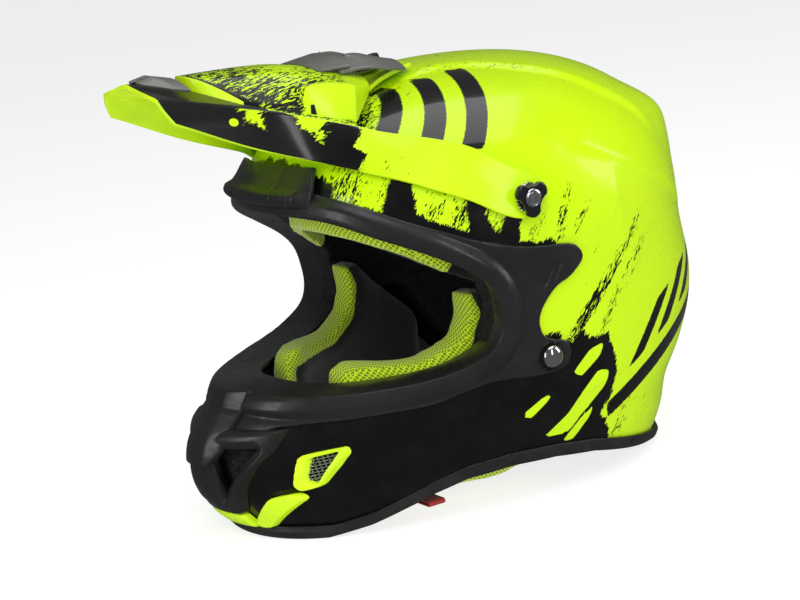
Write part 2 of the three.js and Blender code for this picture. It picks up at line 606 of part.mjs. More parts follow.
// closed loop of round wire lying square to the z axis
const wireLoop = (path, r, sides = 8) => {
  const n = path.length;
  const xyz = [];
  for (let i = 0; i < n; i++) {
    const a = path[(i + n - 1) % n];
    const b = path[(i + 1) % n];
    const d = Math.hypot(b[0] - a[0], b[1] - a[1]);
    const out = [(b[1] - a[1]) / d, -(b[0] - a[0]) / d];
    for (let k = 0; k < sides; k++) {
      const q = 2 * Math.PI * k / sides;
      xyz.push(path[i][0] + out[0] * r * Math.cos(q), path[i][1] + out[1] * r * Math.cos(q), r * Math.sin(q));
    }
  }
  const tri = [];
  for (let i = 0; i < n; i++) {
    for (let k = 0; k < sides; k++) {
      const [a, b] = [i * sides + k, i * sides + (k + 1) % sides];
      const [c, d] = [(i + 1) % n * sides + (k + 1) % sides, (i + 1) % n * sides + k];
      tri.push(a, d, c, a, c, b);
    }
  }
  const g = new THREE.BufferGeometry();
  g.setAttribute("position", new THREE.BufferAttribute(new Float32Array(xyz), 3));
  g.setIndex(tri);
  return g;
};

const dRing = (height) => {
  const path = [[0, -15], [-6, -15.4], [-12, -14], [-17, -10.6], [-20.5, -5.6], [-21.6, 0], [-20.5, 5.6],
    [-17, 10.6], [-12, 14], [-6, 15.4], [0, 15]];
  const g = wireLoop(path, 1.5);
  g.translate(RING_AT.x, (STRAP_Y[0] + STRAP_Y[1]) / 2, RING_AT.z + height);
  return solidOf(g);
};

// ---------------------------------------------------------------- assembly
const helmet = new THREE.Group();
helmet.name = "motocross_helmet";
const put = (name, solid, material) => {
  const mesh = new THREE.Mesh(geometryOf(solid), material);
  mesh.name = name;
  mesh.position.set(0, CENTRE_Y, 0);
  helmet.add(mesh);
};
const pair = (name, solid, material) => {
  put(name + "_left", solid, material);
  put(name + "_right", mirrored(solid), material);
};

put("outer_shell", outerShell(), LIME);
put("eyeport_trim", eyeportTrim(), SATIN_BLACK);
put("base_trim", baseTrim(), RUBBER);
put("brow_vent", browVent(), SATIN_BLACK);
put("chin_vent_housing", chinHousing(), SATIN_BLACK);
put("nose_cap", noseCap(), SATIN_BLACK);
put("chin_insert", chinInsert(), LIME_PLASTIC);
pair("side_vent_frame", ventFrame(), LIME_PLASTIC);
pair("side_vent_mesh", ventMesh(), STEEL);
pair("chin_wedge", chinWedge(), LIME_PLASTIC);

put("eps_liner", epsLiner(), FOAM);
put("chin_foam", chinFoam(), FOAM);
put("crown_pad", crownPad(), PLAIN_FABRIC);
put("brow_pad", browPad(), MESH_FABRIC);
pair("cheek_pad", cheekPad(), MESH_FABRIC);
put("neck_roll", neckRoll(), PLAIN_FABRIC);
pair("release_tab", releaseTab(), RED_WEBBING);

put("peak", peak(), LIME);
put("peak_cover", peakCover(), GREY_PLASTIC);
pair("peak_scoop", peakScoop(), GREY_PLASTIC);

const SIDE_AT = [SEAT_X + GAP, PIVOT.y, PIVOT.z];
pair("side_screw", screw(SIDE_AT, [1, 0, 0], 20), ALUMINIUM);
pair("side_knob", knob(SIDE_AT, [1, 0, 0]), GLOSS_BLACK);
pair("side_insert", insert([0, PIVOT.y, PIVOT.z], [1, 0, 0], 104, 120), ALUMINIUM);
put("centre_screw", screw(fromPivot(SLOT_R + 2.2 + GAP), CENTRE_DIR, 18), ALUMINIUM);
put("centre_knob", knob(fromPivot(SLOT_R + 2.2 + GAP), CENTRE_DIR), GLOSS_BLACK);
put("centre_insert", insert(fromPivot(0), CENTRE_DIR, 58, 72.6), ALUMINIUM);

pair("strap_rivet", rivet(), CHROME);
pair("strap_anchor", anchor(), STEEL);
put("strap_left", strapLeft(), WEBBING);
put("strap_right", strapRight(), WEBBING);
put("strap_stud", strapStud(), CHROME);
put("d_ring_upper", dRing(1.9), STEEL);
put("d_ring_lower", dRing(-1.9), STEEL);

export default helmet;
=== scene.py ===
import json
import math

import bmesh
import bpy
import numpy as np
from mathutils import Matrix, Vector


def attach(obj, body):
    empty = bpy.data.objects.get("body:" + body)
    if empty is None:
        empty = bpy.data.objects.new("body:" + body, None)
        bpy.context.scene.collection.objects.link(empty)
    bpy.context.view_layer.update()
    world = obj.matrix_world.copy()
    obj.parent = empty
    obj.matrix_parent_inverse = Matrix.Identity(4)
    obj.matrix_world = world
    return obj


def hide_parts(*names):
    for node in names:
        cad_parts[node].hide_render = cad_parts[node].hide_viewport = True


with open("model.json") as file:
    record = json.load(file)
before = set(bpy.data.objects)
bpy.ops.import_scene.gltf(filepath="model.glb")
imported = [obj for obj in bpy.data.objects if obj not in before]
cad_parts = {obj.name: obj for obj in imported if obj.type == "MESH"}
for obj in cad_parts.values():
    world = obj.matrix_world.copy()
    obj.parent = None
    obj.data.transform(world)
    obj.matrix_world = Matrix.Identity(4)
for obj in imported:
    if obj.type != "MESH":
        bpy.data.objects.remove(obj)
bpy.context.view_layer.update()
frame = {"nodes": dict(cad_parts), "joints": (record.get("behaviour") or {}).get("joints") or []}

# Lengths below are millimetres in the head's own frame, whose y is the part's y less SHIFT.
MM = 0.001
JOINT = {j["name"]: j for j in frame["joints"]}
PIVOT_Y, PIVOT_Z = -30.0, JOINT["peak_tilt"]["pos_m"][2] / MM
SHIFT = JOINT["peak_tilt"]["pos_m"][1] / MM - PIVOT_Y
SPRING_Z, CROWN_Z, DOME_POWER = 170.0, 271.0, 2.3
RIVET = (-19.0, 95.0)
SEAT_X = 127.8  # where the side screws bear on the peak's arms
SHELL_THICK, SCREW_HOLE, RIVET_HOLE = 4.0, 6.4, 3.2
TONGUE_R = 79.2  # radius of the peak's tongue about its pivot
HALF_PI = math.pi / 2

# half width, front reach, rear reach and squareness of the shell against height
WIDTH = [[0, 98], [20, 106], [50, 113], [90, 119], [130, 123.5], [170, 125.5]]
FRONT = [[0, 176], [16, 189], [47, 202], [62, 200], [85, 184], [120, 165], [150, 150], [170, 143]]
REAR = [[0, 120], [26, 133], [45, 138], [67, 153], [92, 164], [111, 166], [145, 160], [170, 155]]
POWER = [[0, 2.1], [20, 1.95], [60, 1.75], [100, 1.8], [150, 2.0], [170, 2.1]]
RIM = [[-230, 0], [-150, 0], [-130, 6], [-112, 14], [-95, 21], [-75, 26.5], [-45, 28.5], [-15, 27],
       [16, 22.5], [52, 13], [80, 6], [100, 1.2], [110, 0], [200, 0]]
PORT = [[-260, 198], [-150, 198], [-129, 194], [-110, 183], [-86, 170], [-66, 157], [-55, 145],
        [-51, 131], [-51, 117], [-58, 106], [-76, 98], [-95, 94], [-118, 92], [-146, 91], [-168, 92],
        [-182, 95], [-196, 99], [-260, 104]]
SURROUND = [[-260, 222], [-150, 221], [-133, 213], [-115, 203], [-98, 193], [-82, 185], [-62, 176],
            [-40, 169], [-26, 166], [-4, 163.5], [4, 160], [7, 152], [-3, 143], [-14, 138], [-23, 128],
            [-26, 119], [-24, 110], [-18, 106], [-9, 103], [-5, 96], [-8, 87], [-22, 84], [-53, 86],
            [-73, 83], [-94, 78], [-130, 76], [-169, 74], [-182, 69], [-196, 66], [-260, 64]]


# ---------------------------------------------------------------- numbers
def smooth(a, b, x):
    t = np.clip((x - a) / (b - a), 0, 1)
    return t * t * (3 - 2 * t)


def curve(knots, x):
    """smooth curve through knots"""
    k = np.asarray(knots, float)
    kx, ky = k[:, 0], k[:, 1]
    h = np.diff(kx)
    s = np.diff(ky) / h
    t = np.concatenate([s[:1], (s[1:] * h[:-1] + s[:-1] * h[1:]) / (h[:-1] + h[1:]), s[-1:]])
    c = np.clip(x, kx[0], kx[-1])
    i = np.clip(np.searchsorted(kx, c) - 1, 0, len(h) - 1)
    u = (c - kx[i]) / h[i]
    return ((2 * u**3 - 3 * u**2 + 1) * ky[i] + (u**3 - 2 * u**2 + u) * h[i] * t[i]
            + (3 * u**2 - 2 * u**3) * ky[i + 1] + (u**3 - u**2) * h[i] * t[i + 1])


def line(knots, x):
    k = np.asarray(knots, float)
    return np.interp(x, k[:, 0], k[:, 1])


def spline(points, n=6, closed=True):
    """smooth outline through points"""
    p = np.asarray(points, float)
    m = len(p)
    out = []
    for i in range(m if closed else m - 1):
        a, b, c, d = (p[(i - 1) % m], p[i], p[(i + 1) % m], p[(i + 2) % m]) if closed else (
            p[max(i - 1, 0)], p[i], p[i + 1], p[min(i + 2, m - 1)])
        for t in np.arange(n) / n:
            out.append(0.5 * (2 * b + (c - a) * t + (2 * a - 5 * b + 4 * c - d) * t * t
                              + (3 * b - a - 3 * c + d) * t**3))
    if not closed:
        out.append(p[-1])
    return np.array(out)


def rounded(points, r, n=4):
    """outline with its corners rounded"""
    p = np.asarray(points, float)
    out = []
    for i in range(len(p)):
        a, b, c = p[i - 1], p[i], p[(i + 1) % len(p)]
        u, v = a - b, c - b
        lu, lv = np.linalg.norm(u), np.linalg.norm(v)
        k = min(r, 0.45 * lu, 0.45 * lv)
        s, e = b + u / lu * k, b + v / lv * k
        for t in np.linspace(0, 1, n + 1):
            out.append((1 - t)**2 * s + 2 * t * (1 - t) * b + t * t * e)
    return np.array(out)


def inside(poly, q):
    """signed distance to a closed outline, below zero inside"""
    a = np.asarray(poly, float)
    b = np.roll(a, -1, axis=0)
    d = b - a
    ll = (d**2).sum(1) + 1e-12
    out = np.empty(len(q))
    for k in range(0, len(q), 6000):
        p = q[k:k + 6000]
        w = p[:, None] - a[None]
        t = np.clip((w * d).sum(2) / ll, 0, 1)
        r = w - t[..., None] * d
        far = np.sqrt((r**2).sum(2).min(1))
        up = (a[None, :, 1] <= p[:, None, 1]) != (b[None, :, 1] <= p[:, None, 1])
        cross = a[None, :, 0] + (p[:, None, 1] - a[None, :, 1]) * d[:, 0] / np.where(d[:, 1] == 0, 1e-12, d[:, 1])
        odd = (up & (p[:, None, 0] < cross)).sum(1) % 2
        out[k:k + 6000] = np.where(odd == 1, -far, far)
    return out


def along(path, q):
    """distance to an open path, signed by its side, and the share of the way along it"""
    a = np.asarray(path, float)
    d = a[1:] - a[:-1]
    length = np.sqrt((d**2).sum(1))
    at = np.concatenate([[0], np.cumsum(length)])
    w = q[:, None] - a[None, :-1]
    t = np.clip((w * d).sum(2) / (length**2), 0, 1)
    r = w - t[..., None] * d
    far = (r**2).sum(2)
    k = far.argmin(1)
    i = np.arange(len(q))
    side = np.sign(d[k, 0] * w[i, k, 1] - d[k, 1] * w[i, k, 0])
    return np.sqrt(far[i, k]) * side, (at[k] + t[i, k] * length[k]) / at[-1]


# ---------------------------------------------------------------- the head surface
def head(p, depth):
    """points of the head surface: level 0..1 up the walls and 1..2 over the dome, depth outward"""
    turn, level = p[:, 0], p[:, 1]
    z = np.minimum(level, 1) * SPRING_Z
    phi = np.maximum(level - 1, 0) * HALF_PI
    r = np.maximum(np.cos(phi), 0) ** (2 / DOME_POWER)
    s = np.sin(phi) ** (2 / DOME_POWER)
    c, n = np.cos(turn), np.sin(turn)
    q = np.where(n < 0, curve(POWER, z), 2.0)
    den = (np.abs(c)**q + np.abs(n)**q) ** (1 / q)
    reach = np.where(n < 0, curve(FRONT, z), curve(REAR, z)) + depth
    y = reach * r * n / den
    x = (curve(WIDTH, z) + depth) * r * c / den
    up = np.where(level > 1, SPRING_Z + (CROWN_Z + depth - SPRING_Z) * s, z)
    corner = 9 * smooth(-34, 0, -np.abs(up - 212)) * smooth(85, 50, np.abs(x)) * smooth(60, 120, y)
    x = np.where(np.abs(np.abs(turn) - HALF_PI) < 1e-9, 0, x)
    return np.stack([x, y + corner * 0.7, up + corner * 0.6], 1)


def front(p, depth):
    """points of the head surface given by x and z, looking from the front"""
    x, z = p[:, 0], p[:, 1]
    q = curve(POWER, z)
    w = curve(WIDTH, z) + depth
    reach = curve(FRONT, z) + depth
    return np.stack([x, -reach * np.maximum(0, 1 - (np.abs(x) / w)**q) ** (1 / q), z], 1)


def section(y, z, depth):
    """half width, reach and squareness of the head surface at given y and z"""
    low = np.minimum(z, SPRING_Z)
    s = np.clip((z - SPRING_Z) / (CROWN_Z + depth - SPRING_Z), 0, 1)
    r = (1 - s**DOME_POWER) ** (1 / DOME_POWER)
    reach = np.where(y < 0, curve(FRONT, low), curve(REAR, low)) + depth
    return (curve(WIDTH, low) + depth) * r, reach * r, np.where(y < 0, curve(POWER, low), 2.0)


def side(p, depth):
    """points of the left side of the head surface given by y and z"""
    y, z = p[:, 0], p[:, 1]
    w, reach, q = section(y, z, depth)
    return np.stack([w * np.maximum(0, 1 - (np.abs(y) / reach)**q) ** (1 / q), y, z], 1)


def under(v, depth):
    """which points lie below the head surface of that depth"""
    w, reach, q = section(v[:, 1], v[:, 2], depth)
    return (np.abs(v[:, 0]) / (w + 1e-9))**q + (np.abs(v[:, 1]) / (reach + 1e-9))**q < 1


# ---------------------------------------------------------------- cutting and closing surfaces
def grid(us, vs):
    u, v = np.meshgrid(us, vs)
    n = len(us)
    i = (np.arange(len(vs) - 1)[:, None] * n + np.arange(n - 1)[None]).ravel()
    tri = np.concatenate([np.stack([i, i + 1, i + n + 1], 1), np.stack([i, i + n + 1, i + n], 1)])
    return np.stack([u.ravel(), v.ravel()], 1), tri


def split(p, tri, field, keep_both=False, snap=0.18):
    """cuts triangles along field = 0 and keeps the part below zero, or both"""
    f = field(p)
    e = np.unique(np.sort(np.concatenate([tri[:, [0, 1]], tri[:, [1, 2]], tri[:, [2, 0]]]), axis=1), axis=0)
    cut = e[(f[e[:, 0]] < 0) != (f[e[:, 1]] < 0)]
    if len(cut):
        lo, hi = p[cut[:, 0]].copy(), p[cut[:, 1]].copy()
        flo, fhi = f[cut[:, 0]].copy(), f[cut[:, 1]].copy()
        a0, b0 = p[cut[:, 0]], p[cut[:, 1]]
        for _ in range(3):
            t = np.clip(flo / (flo - fhi + 1e-18), 0.02, 0.98)[:, None]
            mid = lo + (hi - lo) * t
            fm = field(mid)
            same = (fm < 0) == (flo < 0)
            lo[same], flo[same] = mid[same], fm[same]
            hi[~same], fhi[~same] = mid[~same], fm[~same]
        t = (flo / (flo - fhi + 1e-18))[:, None]
        at = lo + (hi - lo) * t
        share = np.linalg.norm(at - a0, axis=1) / (np.linalg.norm(b0 - a0, axis=1) + 1e-18)
        p = p.copy()
        for sel, end in ((share < snap, 0), (share > 1 - snap, 1)):
            p[cut[sel, end]] = at[sel]
            f[cut[sel, end]] = 0
    sign = np.where(np.abs(f) < 1e-9, 0, np.sign(f)).astype(int)
    new = {}
    extra = []
    if len(cut):
        for k, (a, b) in enumerate(cut):
            if sign[a] * sign[b] < 0:
                new[(a, b)] = len(p) + len(extra)
                extra.append(at[k])
    s = sign[tri]
    mixed = (s.min(1) < 0) & (s.max(1) > 0)
    plain = tri[~mixed]
    if not keep_both:
        plain = plain[s[~mixed].min(1) < 0]
    made = []
    for t in tri[mixed]:
        for want in ((-1, 1) if keep_both else (-1,)):
            ring = []
            for j in range(3):
                a, b = t[j], t[(j + 1) % 3]
                if sign[a] * want >= 0:
                    ring.append(a)
                if sign[a] * sign[b] < 0:
                    ring.append(new[(min(a, b), max(a, b))])
            for j in range(1, len(ring) - 1):
                made.append((ring[0], ring[j], ring[j + 1]))
    tri = np.concatenate([plain, np.array(made, int).reshape(-1, 3)])
    if extra:
        p = np.concatenate([p, np.array(extra)])
    used, inv = np.unique(tri, return_inverse=True)
    return p[used], inv.reshape(-1, 3)


def weld(v, faces, tol=4):
    """which vertices to keep, and the faces that are whole once vertices in one place are joined"""
    _, first, inv = np.unique(np.round(v, tol), axis=0, return_index=True, return_inverse=True)
    out = []
    for f in faces:
        g = inv.reshape(-1)[f]
        corners = range(f.shape[1])
        out.append(g[np.all([g[:, a] != g[:, b] for a in corners for b in range(a)], axis=0)])
    return first, out


def panel(p, tri, surface, top, foot, field, edge=1.0, mirror=True, lift=None):
    """closed plate over a region of a surface, its upper edge rounded, as vertices and faces"""
    for share in (1.0, 0.5, 0.15):
        if edge > 0:
            p, tri = split(p, tri, lambda q, s=share: field(q) + edge * s, True, 0.12)
    p, tri = split(p, tri, field)
    d = np.maximum(-field(p), 0)
    base = surface(p, 0.0)
    t = top(base, p) if callable(top) else np.full(len(p), float(top))
    u = foot(base, p) if callable(foot) else np.full(len(p), float(foot))
    if edge > 0:
        t = t - edge + np.sqrt(np.maximum(edge**2 - np.maximum(edge - d, 0)**2, 0))
    if lift is not None:
        extra = lift(base)
        t, u = t + extra, u + extra * (u > -1)
    v, w = surface(p, t), surface(p, u)
    first, (tri,) = weld(v, [tri])
    v, w = v[first], w[first]
    half = np.concatenate([tri[:, [0, 1]], tri[:, [1, 2]], tri[:, [2, 0]]])
    code = half[:, 0] * (len(v) + 1) + half[:, 1]
    twin = half[:, 1] * (len(v) + 1) + half[:, 0]
    rim = half[~np.isin(code, twin)]
    if mirror:
        rim = rim[~((np.abs(v[rim[:, 0], 0]) < 1e-5) & (np.abs(v[rim[:, 1], 0]) < 1e-5))]
    n = len(v)
    wall = np.stack([rim[:, 1], rim[:, 0], rim[:, 0] + n, rim[:, 1] + n], 1)
    faces = [np.concatenate([tri, tri[:, ::-1] + n]), wall]
    v = np.concatenate([v, w])
    if mirror:
        v, faces = both(v, faces)
    return outward(v, faces)


def both(v, faces):
    """a half with x >= 0 and its mirror image, joined at x = 0"""
    n = len(v)
    v = np.concatenate([v, v * [-1, 1, 1]])
    faces = [np.concatenate([f, f[:, ::-1] + n]) for f in faces]
    first, faces = weld(v, faces)
    return v[first], faces


def outward(v, faces):
    """the same closed mesh with its faces turned out"""
    vol = 0
    for f in faces:
        for k in range(1, f.shape[1] - 1):
            a, b, c = v[f[:, 0]], v[f[:, k]], v[f[:, k + 1]]
            vol += (a * np.cross(b, c)).sum()
    return v, faces if vol > 0 else [f[:, ::-1] for f in faces]


def flip_x(v, faces):
    return v * [-1, 1, 1], [f[:, ::-1] for f in faces]


def merge(*parts):
    v, tris, quads, n = [], [], [], 0
    for pv, pf in parts:
        v.append(pv)
        for f in pf:
            (quads if f.shape[1] == 4 else tris).append(f + n)
        n += len(pv)
    return np.concatenate(v), [np.concatenate(k) for k in (tris, quads) if k]


def place(v):
    return (np.asarray(v, float) + [0, SHIFT, 0]) * MM


def piece(name, shape, looks, stands_for=(), sharp=38, values=None, body="helmet"):
    """a named mesh object from (vertices, faces) in millimetres, its looks named as in M"""
    looks = looks.split()
    v, faces = shape
    mesh = bpy.data.meshes.new(name)
    faces = [f for f in faces if len(f)]
    mesh.vertices.add(len(v))
    mesh.vertices.foreach_set("co", place(v).astype(np.float32).ravel())
    mesh.loops.add(sum(f.size for f in faces))
    mesh.loops.foreach_set("vertex_index", np.concatenate([f.ravel() for f in faces]).astype(np.int32))
    sizes = np.concatenate([np.full(len(f), f.shape[1]) for f in faces])
    mesh.polygons.add(len(sizes))
    mesh.polygons.foreach_set("loop_start", np.concatenate([[0], np.cumsum(sizes)[:-1]]).astype(np.int32))
    mesh.update(calc_edges=True)
    mesh.validate()
    mesh.shade_smooth()
    if sharp < 180:
        mesh.set_sharp_from_angle(angle=math.radians(sharp))
    for key, value in (values or {}).items():
        mesh.attributes.new(key, "FLOAT", "POINT").data.foreach_set("value", value.astype(np.float32))
    ob = bpy.data.objects.new(name, mesh)
    bpy.context.scene.collection.objects.link(ob)
    for look in looks:
        mesh.materials.append(M[look])
    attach(ob, body)
    if stands_for:
        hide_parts(*([stands_for] if isinstance(stands_for, str) else stands_for))
    return ob


def turned(profile, at, axis, n=48, radius=None):
    """round solid from a closed profile of (radius, height); radius(step, angle) may reshape it"""
    prof = np.asarray(profile, float)
    a = np.arange(n) * 2 * math.pi / n
    m = len(prof)
    r = prof[:, :1] * np.ones((1, n))
    if radius is not None:
        r = radius(r, a[None] * np.ones((m, 1)))
    ring = np.stack([r * np.cos(a), r * np.sin(a), prof[:, 1:] * np.ones((1, n))], 2).reshape(-1, 3)
    i = np.arange(m - 1)[:, None] * n + np.arange(n)[None]
    j = np.arange(m - 1)[:, None] * n + (np.arange(n)[None] + 1) % n
    quads = np.stack([i, j, j + n, i + n], 2).reshape(-1, 4)
    q = Vector((0, 0, 1)).rotation_difference(Vector(axis).normalized()).to_matrix()
    v = ring @ np.array(q).T + np.asarray(at, float)
    # a quad with a side on the axis becomes a triangle
    low, high = (r.ravel()[quads[:, k]] <= 1e-6 for k in (0, 2))
    first, faces = weld(v, [quads[~low & ~high], quads[low][:, [0, 2, 3]], quads[high][:, [0, 1, 2]]])
    return outward(v[first], faces)


def heading(p, closed):
    """unit directions along a path"""
    d = np.roll(p, -1, 0) - np.roll(p, 1, 0)
    if not closed:
        d[0], d[-1] = p[1] - p[0], p[-1] - p[-2]
    return d / np.linalg.norm(d, axis=1)[:, None]


def skin(rings, closed):
    """closed mesh through rings of equally many points"""
    n, m = rings.shape[:2]
    v = rings.reshape(-1, 3)
    i = np.arange(n if closed else n - 1)[:, None] * m
    j = (i + m) % (n * m)
    k = np.arange(m)
    l = (k + 1) % m
    faces = [np.stack([i + k, i + l, j + l, j + k], 2).reshape(-1, 4)]
    if not closed:
        mid, last = np.full(m, n * m), n * m - m
        v = np.concatenate([v, rings[[0, -1]].mean(1)])
        faces.append(np.concatenate([np.stack([l, k, mid], 1), np.stack([k + last, l + last, mid + 1], 1)]))
    return outward(v, faces)


def tube(path, r, sides=8, closed=False, normal=(0, 0, 1)):
    """round wire along a path"""
    p = np.asarray(path, float)
    d = heading(p, closed)
    a = np.cross(d, np.asarray(normal, float))
    a /= np.linalg.norm(a, axis=1)[:, None] + 1e-12
    q = np.arange(sides)[None, :, None] * 2 * math.pi / sides
    return skin(p[:, None] + r * (np.cos(q) * a[:, None] + np.sin(q) * np.cross(d, a)[:, None]), closed)


def band(path, thick, y0, y1, closed=False):
    """flat webbing along a path in x and z, its edges rounded"""
    p = np.asarray(path, float)
    d = heading(p, closed)
    h, r = thick / 2, thick * 0.45
    ys = np.linspace(y0 + r, y1 - r, 14)
    arc = np.linspace(0, math.pi, 5)[1:-1]
    s = np.array([(y, h) for y in ys] + [(y1 - r + r * math.sin(t), h * math.cos(t)) for t in arc]
                 + [(y, -h) for y in ys[::-1]] + [(y0 + r - r * math.sin(t), -h * math.cos(t)) for t in arc])
    x, z = (p[:, None, k] + way * d[:, None, 1 - k] * s[None, :, 1] for k, way in ((0, -1), (1, 1)))
    return skin(np.stack([x, np.broadcast_to(s[:, 0], x.shape), z], 2), closed)


# ---------------------------------------------------------------- materials
class Look:
    """a node material under construction"""

    def __init__(self, name, rough=0.5, metal=0.0, color=(0.5, 0.5, 0.5)):
        self.m = bpy.data.materials.new(name)
        self.m.use_nodes = True
        self.t = self.m.node_tree
        self.t.nodes.clear()
        out = self.t.nodes.new("ShaderNodeOutputMaterial")
        self.b = self.t.nodes.new("ShaderNodeBsdfPrincipled")
        self.t.links.new(self.b.outputs[0], out.inputs[0])
        self.set(Roughness=rough, Metallic=metal)
        self.b.inputs["Base Color"].default_value = (*color, 1)
        self.co = None
        self.normal = None

    def set(self, **sockets):
        for key, value in sockets.items():
            self.feed(self.b.inputs[key.replace("_", " ")], value)

    def feed(self, socket, value):
        if isinstance(value, bpy.types.NodeSocket):
            self.t.links.new(value, socket)
        elif isinstance(value, tuple) and len(value) == 3 and socket.type == "RGBA":
            socket.default_value = (*value, 1)
        else:
            socket.default_value = value

    def node(self, kind, inputs=(), **props):
        n = self.t.nodes.new("ShaderNode" + kind)
        for k, v in props.items():
            setattr(n, k, v)
        for k, v in dict(inputs).items():
            self.feed(n.inputs[k], v)
        return n

    def math(self, op, a, b=0.0, c=0.0):
        return self.node("Math", {0: a, 1: b, 2: c}, operation=op).outputs[0]

    def add(self, a, b):
        return self.math("ADD", a, b)

    def sub(self, a, b):
        return self.math("SUBTRACT", a, b)

    def mul(self, a, b):
        return self.math("MULTIPLY", a, b)

    def top(self, a, b):
        return self.math("MAXIMUM", a, b)

    def mix(self, fac, a, b, kind="RGBA"):
        first, out = (6, 2) if kind == "RGBA" else (2, 0)
        return self.node("Mix", {0: fac, first: a, first + 1: b}, data_type=kind).outputs[out]

    def step(self, x, lo, hi, a=0.0, b=1.0):
        return self.node("MapRange", {0: x, 1: lo, 2: hi, 3: a, 4: b}, interpolation_type="SMOOTHSTEP").outputs[0]

    def at(self, name):
        return self.node("Attribute", attribute_name=name).outputs["Fac"]

    def where(self, scale=(1, 1, 1), turn=(0, 0, 0)):
        if self.co is None:
            self.co = self.node("TexCoord").outputs["Object"]
        turned_by = self.node("Mapping", {0: self.co, 2: turn}, vector_type="POINT").outputs[0]
        return self.node("Mapping", {0: turned_by, 3: scale}, vector_type="POINT").outputs[0]

    def noise(self, scale, detail=2.0, rough=0.5, where=None):
        return self.node("TexNoise", {"Vector": where or self.where(), "Scale": scale, "Detail": detail,
                                      "Roughness": rough}).outputs[0]

    def patchy(self, scale, detail, a, b, lo=0.3, hi=0.7):
        """a value, or a colour, that wanders between two with a noise"""
        if isinstance(a, tuple):
            return self.mix(self.step(self.noise(scale, detail), lo, hi), a, b)
        return self.step(self.noise(scale, detail), lo, hi, a, b)

    def cells(self, scale, feature="F1", out=0):
        return self.node("TexVoronoi", {"Vector": self.where(), "Scale": scale, "Randomness": 1.0},
                         feature=feature).outputs[out]

    def xyz(self):
        return list(self.node("SeparateXYZ", {0: self.where()}).outputs)

    def bump(self, height, strength, distance):
        n = self.node("Bump", {"Height": height, "Strength": strength, "Distance": distance})
        if self.normal is not None:
            self.t.links.new(self.normal, n.inputs["Normal"])
        self.normal = n.outputs[0]
        self.t.links.new(self.normal, self.b.inputs["Normal"])
        return self.m


LIME = (0.53, 0.80, 0.002)
INK = (0.002, 0.002, 0.0022)


def lacquer(name, satin=0.0):
    """clear-coated lime paint with black brushwork driven by the mesh's own paint fields"""
    k = Look(name, rough=0.28)
    # streaks run up and back over the sides, and straight back over the top
    leans = [(math.radians(a), 0, 0) for a in (-50, -12)]
    fine, finer, coarse = (
        k.mix(k.at("top"), *(k.noise(1.0, 2.0, r, k.where((a, b, a), lean)) for lean in leans), "FLOAT")
        for a, b, r in ((820, 150, 0.6), (1900, 420, 0.6), (120, 26, 0.5)))
    # ragged edge of the black areas
    rough = k.mul(k.sub(coarse, 0.5), 3.0)
    wobble = k.add(k.mul(k.sub(fine, 0.5), 2.6), k.add(rough, k.mul(k.sub(finer, 0.5), 1.2)))
    black = k.step(k.add(k.at("ink"), k.mul(k.at("rag"), wobble)), 0.25, -0.25)
    # loose specks and dry-brush strokes
    dust = k.add(k.add(k.mul(fine, 0.62), k.mul(finer, 0.38)), k.mul(k.sub(coarse, 0.5), 0.30))
    specks = k.step(k.sub(dust, k.sub(0.80, k.mul(k.at("speck"), 0.34))), -0.008, 0.012)
    # crisp graphic bars, worn through in places
    worn = k.mul(k.sub(finer, 0.54), k.mul(k.at("wear"), 12.0))
    mark = k.step(k.add(k.at("mark"), k.top(worn, -0.2)), 0.22, -0.22)
    clear = k.step(k.at("clear"), 0.22, -0.22)
    black = k.top(k.mul(k.top(black, specks), k.sub(1.0, clear)), mark)
    shade = k.patchy(14, 2, LIME, (LIME[0] * 0.93, LIME[1] * 0.96, LIME[2]))
    flake = k.step(k.noise(2600, 1), 0.62, 0.75, 0.0, 0.12)
    shade = k.mix(flake, shade, (0.62, 0.88, 0.01))
    k.set(Base_Color=k.mix(black, shade, k.patchy(60, 3, INK, (0.004, 0.004, 0.0042), 0.35)))
    k.set(Roughness=k.patchy(300, 3, 0.26 + satin, 0.34 + satin), Specular_IOR_Level=0.22)
    k.set(Coat_Weight=k.step(black, 0.0, 1.0, 0.30, 0.75 - satin * 1.5), Coat_Roughness=0.07 + satin * 0.5)
    k.bump(k.noise(330, 2), 0.05, 0.0002)
    return k.bump(black, 0.12, 0.00008)


def plastic(name, color, rough, grain=0.06, coat=0.0):
    """moulded plastic with a fine grain, lighter in patches"""
    k = Look(name)
    k.set(Base_Color=k.patchy(28, 3, color, tuple(c * 1.25 + 0.002 for c in color), 0.3, 0.75))
    k.set(Roughness=k.patchy(180, 4, rough - 0.05, rough + 0.06), Coat_Weight=coat, Coat_Roughness=0.06)
    k.bump(k.cells(2600), grain, 0.00012)
    return k.bump(k.noise(45, 2), 0.03, 0.0006)


def rubber(name):
    k = Look(name, rough=0.6)
    k.set(Base_Color=k.patchy(50, 4, (0.012, 0.012, 0.012), (0.02, 0.02, 0.02)))
    k.set(Roughness=k.patchy(220, 3.0, 0.42, 0.58, 0.25, 0.75))
    return k.bump(k.noise(1800, 3), 0.15, 0.0001)


def metal(name, color, rough, brushed=0.0):
    k = Look(name, rough=rough, metal=1.0, color=color)
    k.set(Roughness=k.patchy(400, 3, rough * 0.8, rough * 1.3 + 0.01))
    k.set(Base_Color=k.patchy(90, 4, color, tuple(c * 0.86 for c in color), 0.45, 0.8))
    if brushed:
        k.bump(k.noise(1.0, 2, 0.5, k.where((3000, 300, 3000))), brushed, 0.00005)
    return k.bump(k.noise(900, 2), 0.02, 0.00005)


